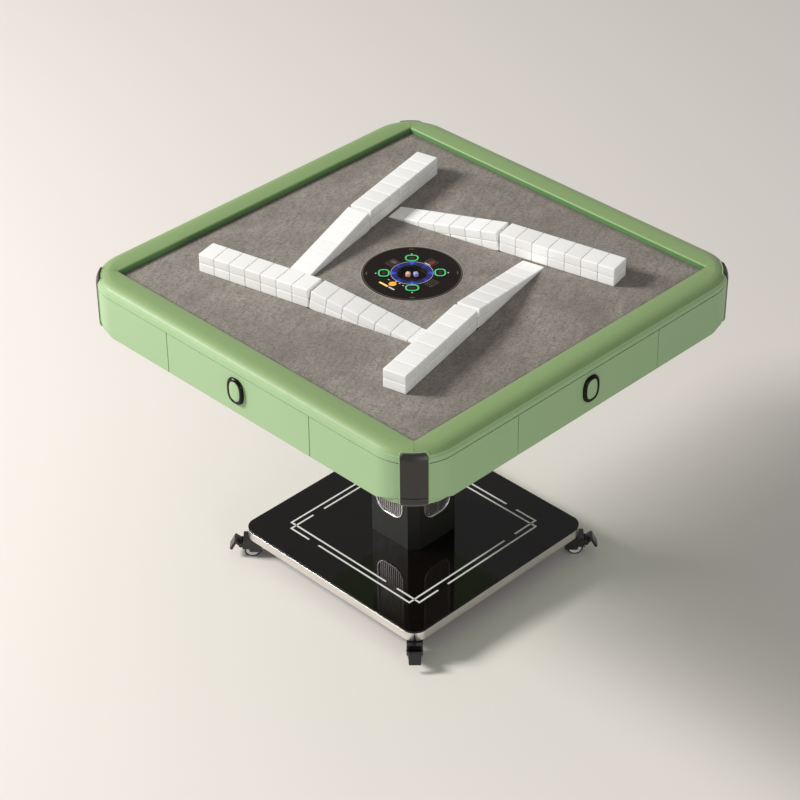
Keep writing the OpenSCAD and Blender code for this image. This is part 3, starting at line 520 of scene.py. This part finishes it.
def family(a=0.0, b=0.0, n=10):
    """Outlines of a plate with corner arcs about (+-a, +-b): a circle, a slot or a rounded rectangle."""
    def at(r):
        out = []
        for k, (sx, sy) in enumerate(((1, 1), (-1, 1), (-1, -1), (1, -1))):
            for j in range(n + 1):
                t = math.radians(90 * k + 90 * j / n)
                out.append((sx * a + r * math.cos(t), sy * b + r * math.sin(t)))
        return out
    return at


def lofted(outline, profile, closed=False, place=None, bm=None):
    """Skin over a profile of (radius, height); an open one is capped at both ends."""
    bm = bm or bmesh.new()
    place = place or Matrix()
    loops = [[bm.verts.new(place @ Vector((x, y, h))) for x, y in outline(r)] for r, h in profile]
    n = len(loops[0])
    pairs = list(zip(loops, loops[1:])) + ([(loops[-1], loops[0])] if closed else [])
    for a, b in pairs:
        for k in range(n):
            bm.faces.new((a[k], a[(k + 1) % n], b[(k + 1) % n], b[k]))
    if not closed:
        bm.faces.new(loops[0][::-1])
        bm.faces.new(loops[-1])
    return bm


def turn(deg, pos=(0, 0, 0)):
    return Matrix.Rotation(math.radians(deg), 4, 'Z') @ Matrix.Translation(pos)


def arc(cx, cy, r, a, b, n):
    """Points on an arc from angle a to b, in degrees."""
    angles = [math.radians(a + (b - a) * k / n) for k in range(n + 1)]
    return [(cx + r * math.cos(t), cy + r * math.sin(t)) for t in angles]


# Rails, mitred at the corners: a rolled lip, a crowned top, a wide outer roll with a raised line, and a band
RAIL_HALF = (BODY - WELL) / 2
RAIL_MIDDLE = WELL + RAIL_HALF
# Power of the superellipse of the outer roll, and radius of the crown
RAIL_POWER = 2.1
CROWN_R = 0.1617
LIP_R = 0.0045
# Raised line on the roll: height, lift and spread of its bell shape
RAIL_LINE = 0.7308
LINE_LIFT = 0.00045
LINE_SPREAD = 0.0009
# Groove below it: height and depth
RAIL_GROOVE = 0.7262
GROOVE_DEEP = 0.0007
# Half of the hairline joint, and the inner corner's radius
MITRE_GAP = 0.00022
CORNER_IN = 0.002


def roll(h):
    """Distance of a rail's outer roll from the table's middle, at height h."""
    rise = max(0.0, (h - CROWN + ROLL) / ROLL)
    return RAIL_MIDDLE + RAIL_HALF * (1 - rise ** RAIL_POWER) ** (1 / RAIL_POWER)


def crown(x):
    """Height of a rail's top, at distance x from the table's middle."""
    return CROWN - (x - RAIL_MIDDLE) ** 2 / (2 * CROWN_R)


def over(x):
    """Height of a rail's outer roll, at distance x from the table's middle."""
    reach = (x - RAIL_MIDDLE) / RAIL_HALF
    return CROWN - ROLL + ROLL * (1 - reach ** RAIL_POWER) ** (1 / RAIL_POWER)


def on_roll(*heights):
    return [(roll(h), h) for h in heights]


def rail_section():
    """Section of a rail: distance from the table's middle, and height."""
    line, fine, chamfer = RAIL_LINE, RAIL_GROOVE, 0.0006
    z = crown(WELL + LIP_R * 0.83) - LIP_R * 0.985
    pts = [(WELL, FELT - 0.0014)] + arc(WELL + LIP_R, z, LIP_R, 180, 100, 7)
    pts += [(x, crown(x)) for x in (0.434, 0.439, 0.445, 0.451)]
    pts += [(x, over(x)) for x in (RAIL_MIDDLE + k * 0.002 for k in range(12))]
    pts += on_roll(0.7346, 0.7338)
    for k in range(13):
        h = line + 0.0024 - 0.0004 * k
        lift = LINE_LIFT * math.exp(-((h - line) / LINE_SPREAD) ** 2)
        pts.append((roll(h) + lift * 0.75, h + lift * 0.6))
    pts += on_roll(0.7276, 0.7272, fine + 0.0007, fine + 0.0004)
    pts.append((roll(fine) - GROOVE_DEEP, fine))
    pts += on_roll(fine - 0.0004, fine - 0.0008, 0.7235, 0.7212)
    pts += [(BODY, CROWN - ROLL), (BODY, RAIL_LOW + chamfer), (BODY - chamfer, RAIL_LOW)]
    return pts + [(RAIL_STEP, RAIL_LOW), (RAIL_STEP, RAIL_BASE), (WELL, RAIL_BASE)]


def corner_radius(d):
    """Radius of the corner arc of the section's line at distance d from the middle."""
    inner, outer = WELL, BODY - ROLL
    if d > outer:
        return d - AXIS
    return CORNER_IN + (outer - AXIS - CORNER_IN) * (d - inner) / (outer - inner)


def rails():
    section = rail_section()
    steps = 18
    for i, s in enumerate(SIDES):
        bm = bmesh.new()
        rows = []
        for d, h in section:
            r = corner_radius(d)
            c = d - r
            end = math.pi / 4 - math.asin(min(MITRE_GAP / r, 0.7))
            turns = [end * k / steps for k in range(steps + 1)]
            arcs = [(c + r * math.sin(t), -c - r * math.cos(t)) for t in turns]
            row = [(-x, y, h) for x, y in arcs[::-1]] + [(x, y, h) for x, y in arcs]
            rows.append([bm.verts.new(turn(90 * i) @ Vector(p)) for p in row])
        n = len(rows[0])
        for a, b in zip(rows, rows[1:] + rows[:1]):
            for k in range(n - 1):
                bm.faces.new((a[k], a[k + 1], b[k + 1], b[k]))
        bm.faces.new([r[0] for r in rows])
        bm.faces.new([r[-1] for r in rows][::-1])
        o = piece("rail_" + s, bm, "table", "rail", 0.7, ("rail_frame",))
        o.data.materials.append(M["panel"])
        o.data.materials.append(M["lip"])
        # The rail's top keeps the darker rail green, a shaded copy of the panel green (painted shade); the
        # band below the raised line takes the panel green.
        for p in o.data.polygons:
            reach = max(abs(p.center.x), abs(p.center.y))
            # The inner lip's faces take the darker lip green, painted shade.
            if reach < WELL + 0.0007:
                p.material_index = 2
            elif p.center.z < RAIL_LINE - 0.0004 and abs(p.normal.z) < 0.95:
                p.material_index = 1


rails()

# Solids whose edges are rounded
dress("corner_caps", 0.0005)
dress("corner_fascias", 0.0006)
dress("standing_tiles", 0.0017)
for s in SIDES:
    dress("ramp_tiles_" + s, 0.0017)
    dress("ramp_" + s, 0.0004)
    dress("drawer_box_" + s, 0.0008)
    dress("button_" + s, 0.0006)
for n, w in (("body_tray", 0.0006), ("column_shell", 0.0007), ("grille_rims", 0.0012),
             ("column_grilles", 0.0004), ("base_glass", 0.0009), ("base_trim", 0.0006),
             ("base_plate", 0.0005), ("light_ring", 0.0003), ("dice_dome", 0.0),
             ("console_plate", 0.0006), ("riser_guide", 0.0005), ("shuffle_pan", 0.0004)):
    dress(n, w)
for c in CORNERS:
    dress("caster_hood_" + c, 0.0007)
    dress("brake_pedal_" + c, 0.0009)


# Green beads that frame the corner covers, up both sides and over the top
def bead(path, r, across):
    """Round bead swept along a path; across is a direction that the path never takes."""
    bm, loops, n = bmesh.new(), [], 8
    for k, p in enumerate(path):
        along = (path[min(k + 1, len(path) - 1)] - path[max(k - 1, 0)]).normalized()
        u = along.cross(across).normalized()
        v = along.cross(u)
        turns = [2 * math.pi * j / n for j in range(n)]
        loops.append([bm.verts.new(p + (u * math.cos(t) + v * math.sin(t)) * r) for t in turns])
    for a, b in zip(loops, loops[1:]):
        for k in range(n):
            bm.faces.new((a[k], a[(k + 1) % n], b[(k + 1) % n], b[k]))
    bm.faces.new(loops[0][::-1])
    bm.faces.new(loops[-1])
    return bm


cap_verts = [v.co for v in NODES["corner_caps"].data.vertices]
CAP_HALF = max(abs(v.x + v.y) for v in cap_verts if v.x > 0 > v.y) / math.sqrt(2)
CAP_TOP = high("corner_caps", 2)
BEAD = 0.0013
BEAD_BEND = 0.005


def cap_bead(i):
    """Bead round the cover of corner i: up one side, over the top and down the other."""
    diagonal, across = Vector((1, -1, 0)).normalized(), Vector((1, 1, 0)).normalized()

    def at_surface(t, h):
        r = (roll(h) if h > CROWN - ROLL else BODY) - AXIS
        return Vector((AXIS, -AXIS, h)) + diagonal * math.sqrt(r * r - t * t) + across * t

    side, top, bend = CAP_HALF + BEAD * 0.8, CAP_TOP + BEAD * 0.1, BEAD_BEND
    foot = low("corner_fascias", 2) + BEAD
    half = [(side, h) for h in (foot, RAIL_LOW, 0.7185, 0.7215, 0.7245, 0.7275)]
    half += arc(side - bend, top - bend, bend, 0, 90, 5) + [((side - bend) / 2, top)]
    both = half + [(0.0, top)] + [(-t, h) for t, h in half[::-1]]
    path = [turn(90 * i) @ at_surface(t, h) for t, h in both]
    bm = bead(path, BEAD, turn(90 * i).to_3x3() @ diagonal)
    piece("cap_bead_" + CORNERS[i], bm, "table", "panel", 1.2)


for i in range(4):
    cap_bead(i)


# Drawer fronts: the panel, a domed inlay in the knob's recess, and a glossy knob with round ends
def upright(i):
    """x across the front, y up, z outward from the body's face on side i."""
    return turn(90 * i) @ Matrix.Translation((0, -BODY, KNOB_Z)) @ Matrix.Rotation(math.pi / 2, 4, 'X')


# The knob's ends and half of its straight part, the inlay in it, and the rounding of its outer and inner rim
KNOB_R = 0.0225
KNOB_STRAIGHT = 0.007
KNOB_POWER = 2.6
INLAY_R = 0.0155
KNOB_EDGE = 0.004
KNOB_INNER_EDGE = 0.0012
# The lining on a drawer's floor: gap to the box's outside, corner radius, and floor thickness under it
LINING_IN = 0.0065
LINING_R = 0.004
DRAWER_FLOOR = 0.003
# A drawer front's panel is taller than the other solids in its node
PANEL_MIN_H = 0.06


def slot_outline(r):
    """Outline of the knob: a superellipse between a stadium and a rounded rectangle."""
    n, power = 56, 2 / KNOB_POWER
    pts = []
    for k in range(n):
        c, s = math.cos(2 * math.pi * k / n), math.sin(2 * math.pi * k / n)
        pts.append((r * math.copysign(abs(c) ** power, c),
                    (r + KNOB_STRAIGHT) * math.copysign(abs(s) ** power, s)))
    return pts


def is_panel(bm):
    heights = [v.co.z for v in bm.verts]
    return max(heights) - min(heights) > PANEL_MIN_H


def knob(i, s):
    """Knob, inlay and bezel of the drawer on side i, as profiles of (radius, distance from the front)."""
    r, h, q, e, f = KNOB_R, KNOB_OUT, INLAY_R - AIR, KNOB_EDGE, KNOB_INNER_EDGE
    ring = [(r, 0.0)] + arc(r - e, h - e, e, 0, 90, 8) + arc(INLAY_R + f, h - f, f, 90, 180, 4)
    ring += [(INLAY_R, h - 0.003), (INLAY_R, 0.0005)]
    dome = [(q, h - 0.0029)] + arc(q - 0.0016, h - 0.0022, 0.0016, 0, 60, 4)
    dome += [(q - 0.004, h - 0.00025), (q - 0.008, h - 0.00005), (0.001, h)]
    wide, narrow = r + 0.0009, r + 0.0001
    bezel = [(wide, 0.0), (wide, 0.0003), (r + 0.0006, 0.0006), (narrow, 0.0006), (narrow, 0.0)]
    body, place = "drawer_" + s, upright(i)
    piece("knob_" + s, lofted(slot_outline, ring, True, place), body, "knob",
          replaces=("drawer_knob_" + s,))
    piece("knob_inlay_" + s, lofted(slot_outline, dome, False, place), body, "panel")
    piece("knob_bezel_" + s, lofted(slot_outline, bezel, True, place), body, "panel")


def lining(i, s):
    """Lining on the floor of the drawer on side i."""
    box_min, box_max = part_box("drawer_box_front")
    half_x = (box_max[0] - box_min[0]) / 2 - LINING_IN - LINING_R
    half_y = (box_max[1] - box_min[1]) / 2 - LINING_IN - LINING_R
    place = turn(90 * i, (0, (box_min[1] + box_max[1]) / 2, box_min[2] + DRAWER_FLOOR))
    profile = [(LINING_R, 0.0), (LINING_R, 0.0008), (LINING_R - 0.0006, 0.0012)]
    sheet = lofted(family(half_x, half_y, 4), profile, False, place)
    piece("drawer_lining_" + s, sheet, "drawer_" + s, "lining")


for i, s in enumerate(SIDES):
    dress("drawer_face_" + s, 0.0006, is_panel)
    knob(i, s)
    lining(i, s)


# Console print, each mark a thin plate on the disc
at = Matrix.Translation
MARK_H = 0.0002


def mark(name, outline, r, place, mat, body="console", slot="console", z=CONSOLE):
    """Plate of corner radius r."""
    profile = [(r, 0.0), (r, MARK_H * 0.6), (r - MARK_H * 0.4, MARK_H)]
    piece(name, lofted(outline, profile, False, at((0, 0, z)) @ place), body, mat)


def loop(name, outline, r, w, place, mat, body="console", slot="console", z=CONSOLE, t=0.0003):
    """Ring of corner radius r, width w and height t."""
    profile = [(r, 0), (r, t), (r - w, t), (r - w, 0)]
    piece(name, lofted(outline, profile, True, at((0, 0, z)) @ place), body, mat, 0.6)


disc = family(n=24)
dot = family(0.0012, 0.0)
field = family(0.0095, 0.0075)
field_half = family(0.0028, 0.0055)
FRONT, RIGHT, BACK, LEFT = (turn(90 * i) for i in range(4))
# Distances from the console's middle: buttons, dots and ticks toward the corners, marks toward the sides
BUTTON_AT = -0.058
DOT_AT = -0.0745
TICK_AT = -0.094
FIELD_AT = -0.057
FIELD_MARK_AT = -0.0575
LAMP_DOTS_AT = -0.0468
BAR_AT = -0.0712
BUTTON_TOP = high("button_front", 2)
# Floor of the dice well below the console's top, and the line round it
WELL_DEEP = 0.008
WELL_LINE = 0.0289

loop("console_collar", disc, 0.1064, 0.0019, Matrix(), "collar", "table", "felt", FELT, 0.0005)
loop("console_rim", disc, 0.1028, 0.0022, Matrix(), "rim")
loop("light_outline", disc, 0.0442, 0.0007, Matrix(), "white")
for i, s in enumerate(SIDES):
    corner, d = 90 * i + 45, turn(90 * i + 45, (0, BUTTON_AT, 0))
    on_button = ("button_" + s, "light", BUTTON_TOP)
    loop("button_ring_" + s, family(0.0042, 0.0018), 0.0100, 0.0030, d, "ring_green", *on_button)
    mark("button_icon_" + s, family(0.004, 0.001), 0.0026, d, "dark", *on_button)
    mark("dot_" + s, family(0.0004, 0.0), 0.0015, turn(corner, (0, DOT_AT, 0)), "white")
    mark("tick_" + s, family(0.004, 0.0), 0.0018, turn(corner, (0, TICK_AT, 0)), "olive")
mark("lamp", disc, 0.0080, FRONT @ at((0.001, FIELD_MARK_AT, 0)), "orange")
LAMP_DOTS = ((-0.0155, -0.052), (0.0005, LAMP_DOTS_AT), (0.0105, LAMP_DOTS_AT), (0.0215, -0.0475))
for k, (x, y) in enumerate(LAMP_DOTS):
    mark("lamp_dot_%d" % k, dot, 0.0011, FRONT @ at((x, y, 0.0002)), "white")
mark("bar_yellow", family(0.0105, 0.0), 0.0023, FRONT @ at((-0.0110, BAR_AT, 0)), "yellow")
mark("bar_white", family(0.0065, 0.0), 0.0019, FRONT @ at((0.0115, BAR_AT, 0)), "white")
loop("edge_right", field, 0.0026, 0.0009, RIGHT @ at((0, FIELD_AT, 0)), "dim")
for k in range(3):
    for j in range(3):
        dot_at = RIGHT @ at(((j - 1) * 0.0062, -0.0512 - 0.0056 * k, 0))
        mark("grid_right_%d%d" % (k, j), family(0.0013, 0.0), 0.0009, dot_at, "dim")
mark("field_back", family(0.0045, 0.0048), 0.0016, BACK @ at((-0.0015, FIELD_MARK_AT, 0)), "red")
mark("field_back_dark", family(0.0020, 0.0048), 0.0014, BACK @ at((0.0070, FIELD_MARK_AT, 0)), "dark")
loop("edge_back", field, 0.0026, 0.0009, BACK @ at((0, FIELD_AT, 0)), "dim")
mark("arc_back", family(0.0065, 0.0), 0.0013, BACK @ at((0.001, LAMP_DOTS_AT, 0.0003)), "white")
loop("edge_left", field, 0.0026, 0.0009, LEFT @ at((0, FIELD_AT, 0)), "dim")
mark("field_left", field_half, 0.0014, LEFT @ at((-0.0045, FIELD_AT, 0)), "dim")
mark("field_left_dark", field_half, 0.0014, LEFT @ at((0.0050, FIELD_AT, 0)), "dark")
loop("well_line", disc, WELL_LINE, 0.0009, Matrix(), "olive", z=CONSOLE - WELL_DEEP + 0.0002)

# Dice: two rounded cubes with pips, under the dome; size, rounding, and the pips' places and radius
DIE = 0.0100
DIE_EDGE = 0.0034
DIE_AT = 0.0057
PIP_AT = 0.0010
PIP_R = 0.0006


def die(name, cx, cy, deg, mat):
    a = DIE
    bm = bmesh.new()
    bmesh.ops.create_cube(bm, size=a)
    bmesh.ops.bevel(bm, geom=bm.edges[:], offset=DIE_EDGE, offset_type='OFFSET', segments=5, profile=0.5,
                    affect='EDGES')
    place = at((cx, cy, CONSOLE - WELL_DEEP + a / 2)) @ turn(deg)
    bmesh.ops.transform(bm, matrix=place, verts=bm.verts)
    piece(name, bm, "console", mat, 0.9, ("dice",))
    pips = bmesh.new()
    faces = [(Matrix(), [(0, 0)]), (Matrix.Rotation(math.pi / 2, 4, 'X'), [(-1, -1), (1, 1)]),
             (Matrix.Rotation(math.pi / 2, 4, 'Y'), [(-1, -1), (0, 0), (1, 1)]),
             (Matrix.Rotation(-math.pi / 2, 4, 'Y'), [(-1, -1), (1, 1), (-1, 1), (1, -1)]),
             (Matrix.Rotation(-math.pi / 2, 4, 'X'), [(-1, -1), (1, 1), (-1, 1), (1, -1), (0, 0)])]
    for m, spots in faces:
        for x, y in spots:
            lofted(family(n=3), [(PIP_R, 0.0), (PIP_R - 0.0001, 0.00006)], False,
                   place @ m @ at((x * PIP_AT, y * PIP_AT, a / 2)), pips)
    piece(name + "_pips", pips, "console", "dark")


# Both dice take glowing materials, a painted glow.
die("die_left", -DIE_AT, -DIE_AT, 33, "pink")
die("die_right", DIE_AT, DIE_AT, 58, "lilac")

# Lines on the base glass: width, height, and the points of the two lines that belong to the front side
LINE_W = 0.0042
LINE_H = 0.0002
LINE_LONG = ((-0.096, -0.198), (0.183, -0.198), (0.183, 0.098))
LINE_SHORT = ((0.131, -0.183), (0.198, -0.183), (0.198, -0.126))


def line_path(name, pts, i):
    """Mitred flat line along points with square turns."""
    half = LINE_W / 2
    left, right = [], []
    for k, p in enumerate(pts):
        a = Vector(pts[k]) - Vector(pts[k - 1]) if k else Vector(pts[1]) - Vector(pts[0])
        b = Vector(pts[k + 1]) - Vector(pts[k]) if k < len(pts) - 1 else a
        a.normalize()
        b.normalize()
        na, nb = Vector((-a.y, a.x)), Vector((-b.y, b.x))
        m = (na + nb) / (1 + na.dot(nb))
        left.append((p[0] + m.x * half, p[1] + m.y * half))
        right.append((p[0] - m.x * half, p[1] - m.y * half))
    outline = left + right[::-1]
    bm = bmesh.new()
    rows = [[bm.verts.new(turn(90 * i) @ Vector((x, y, z))) for x, y in outline]
            for z in (GLASS, GLASS + LINE_H)]
    n = len(outline)
    for k in range(n):
        bm.faces.new((rows[0][k], rows[0][(k + 1) % n], rows[1][(k + 1) % n], rows[1][k]))
    bm.faces.new(rows[0][::-1])
    bm.faces.new(rows[1])
    piece(name, bm, "table", "line", 0.6)


for i, s in enumerate(SIDES):
    line_path("glass_line_long_" + s, LINE_LONG, i)
    line_path("glass_line_short_" + s, LINE_SHORT, i)

# Casters: a black tyre, a light rim and a dark hub on each wheel, as profiles of (radius, distance along)
TYRE_T = 0.0034
TYRE_EDGE = 0.002
RIM_R = WHEEL_R - 0.0035
HUB_R = 0.0075
HUB_OUT = 0.0034
AXLE_R = 0.003
wheel = family(n=12)


def wheel_profiles():
    w, r, e = WHEEL_W / 2, WHEEL_R, TYRE_EDGE
    tyre = [(r - TYRE_T, -w)] + arc(r - e, -w + e, e, -90, 0, 4)
    tyre += arc(r - e, w - e, e, 0, 90, 4) + [(r - TYRE_T, w)]
    bore = HUB_R + 0.0001
    rim = [(bore, -w + 0.0008), (RIM_R, -w + 0.0008), (RIM_R, w - 0.0004), (RIM_R - 0.0009, w - 0.0002),
           (RIM_R - 0.0021, w - 0.0012), (bore, w - 0.0016)]
    hub = [(HUB_R, -w), (HUB_R, w - 0.0012), (0.0066, w - 0.0006), (0.0040, w - 0.0008),
           (0.0034, w + 0.0028), (0.0024, w + HUB_OUT)]
    return tyre, rim, hub


def casters():
    tyre_profile, rim_profile, hub_profile = wheel_profiles()
    end = TRACK / 2 + HUB_OUT
    for i, c in enumerate(CORNERS):
        axle = turn(90 * i - 45, (STEM + TRAIL, 0, AXLE_Z)) @ Matrix.Rotation(-math.pi / 2, 4, 'X')
        tyre, rim, hub = bmesh.new(), bmesh.new(), bmesh.new()
        for angle in (math.pi, 0):
            side = axle @ Matrix.Rotation(angle, 4, 'X') @ at((0, 0, TRACK / 2))
            lofted(wheel, tyre_profile, True, side, tyre)
            lofted(wheel, rim_profile, True, side, rim)
            lofted(wheel, hub_profile, False, side, hub)
        lofted(wheel, [(AXLE_R, -end), (AXLE_R, end)], False, axle, hub)
        body = "wheels_" + c
        piece("tyres_" + c, tyre, body, "rubber", 0.7, ("caster_wheels_" + c,))
        piece("rims_" + c, rim, body, "wheel", 0.7)
        piece("hubs_" + c, hub, body, "hood", 0.7)


casters()

# Fastenings and vents below, turned heads down: places, radii and sizes in metres
FLIP = Matrix.Rotation(math.pi, 4, 'X')
TRAY_Z = low("body_tray", 2)
FLANGE_Z = TRAY_Z - 0.006
TRAY_SCREW_R = 0.006
FLANGE_SCREW_R = 0.0065
NEAR, FAR, FLANGE = 0.30, 0.45, 0.102
VENT_X = 0.29
VENT_PITCH = 0.011


def hexagon(r):
    angles = [math.radians(60 * k) for k in range(6)]
    return [(r * math.cos(t), r * math.sin(t)) for t in angles]


def screws(name, places, z, r):
    """Button-head screws with a hexagon recess."""
    head = [(r, 0.0), (r * 0.96, r * 0.22), (r * 0.75, r * 0.42), (r * 0.45, r * 0.5)]
    recess = [(r * 0.36, r * 0.49), (r * 0.36, r * 0.52)]
    heads, keys = bmesh.new(), bmesh.new()
    for x, y in places:
        lofted(disc, head, False, at((x, y, z)) @ FLIP, heads)
        lofted(hexagon, recess, False, at((x, y, z)) @ FLIP, keys)
    piece(name, heads, "table", "steel", 0.7)
    piece(name + "_recess", keys, "table", "black", 0.6)


tray_places = [(x * FAR, y * NEAR) for x in (-1, 1) for y in (-1, 0, 1)]
tray_places += [(x * NEAR, y * FAR) for x in (-1, 0, 1) for y in (-1, 1)]
screws("tray_screws", tray_places, TRAY_Z, TRAY_SCREW_R)
flange_places = [(x * FLANGE, y * FLANGE) for x in (-1, 1) for y in (-1, 1)]
flange_places += [(FLANGE, 0), (-FLANGE, 0), (0, FLANGE), (0, -FLANGE)]
screws("flange_screws", flange_places, FLANGE_Z, FLANGE_SCREW_R)
vents = bmesh.new()
for m in (-1, 1):
    for k in range(-4, 5):
        place = at((m * VENT_X, k * VENT_PITCH, TRAY_Z)) @ FLIP
        lofted(family(0.032, 0.0, 5), [(0.0025, 0.0), (0.0023, 0.0004)], False, place, vents)
piece("tray_vents", vents, "table", "black", 0.6)

# Floor and light
FLOOR = 14
FLOOR_Z = -0.0005


def floor():
    me = bpy.data.meshes.new("floor")
    corners = [(x * FLOOR, y * FLOOR, FLOOR_Z) for x, y in ((-1, -1), (1, -1), (1, 1), (-1, 1))]
    me.from_pydata(corners, [], [[0, 1, 2, 3]])
    o = bpy.data.objects.new("floor", me)
    coll.objects.link(o)
    m = Mat("floor", srgb(222, 216, 210), 0.75)
    me.materials.append(m.m)


floor()


def area(name, pos, target, size, power, color=(1, 1, 1)):
    lamp = bpy.data.lights.new(name, 'AREA')
    lamp.shape = 'RECTANGLE'
    lamp.size, lamp.size_y = size
    lamp.energy = power
    lamp.color = color
    o = bpy.data.objects.new(name, lamp)
    coll.objects.link(o)
    o.location = pos
    o.rotation_euler = (Vector(target) - Vector(pos)).to_track_quat('-Z', 'Y').to_euler()


# Lamps: place and size in metres, power in watts; and the even light all round
LAMP_TARGET = (0, 0, 0.6)
AMBIENT = 0.35
area("key", (-4.4, -3.6, 4.04), LAMP_TARGET, (1.7, 1.7), 575, (1.0, 0.99, 0.98))
area("side", (4.2, -1.6, 1.5), LAMP_TARGET, (2.4, 2.0), 46)

world = bpy.data.worlds.new("world")
scene.world = world
world.use_nodes = True
background = world.node_tree.nodes["Background"]
background.inputs["Color"].default_value = (1.0, 1.0, 1.0, 1)
background.inputs["Strength"].default_value = AMBIENT
scene.view_settings.view_transform = 'Standard'
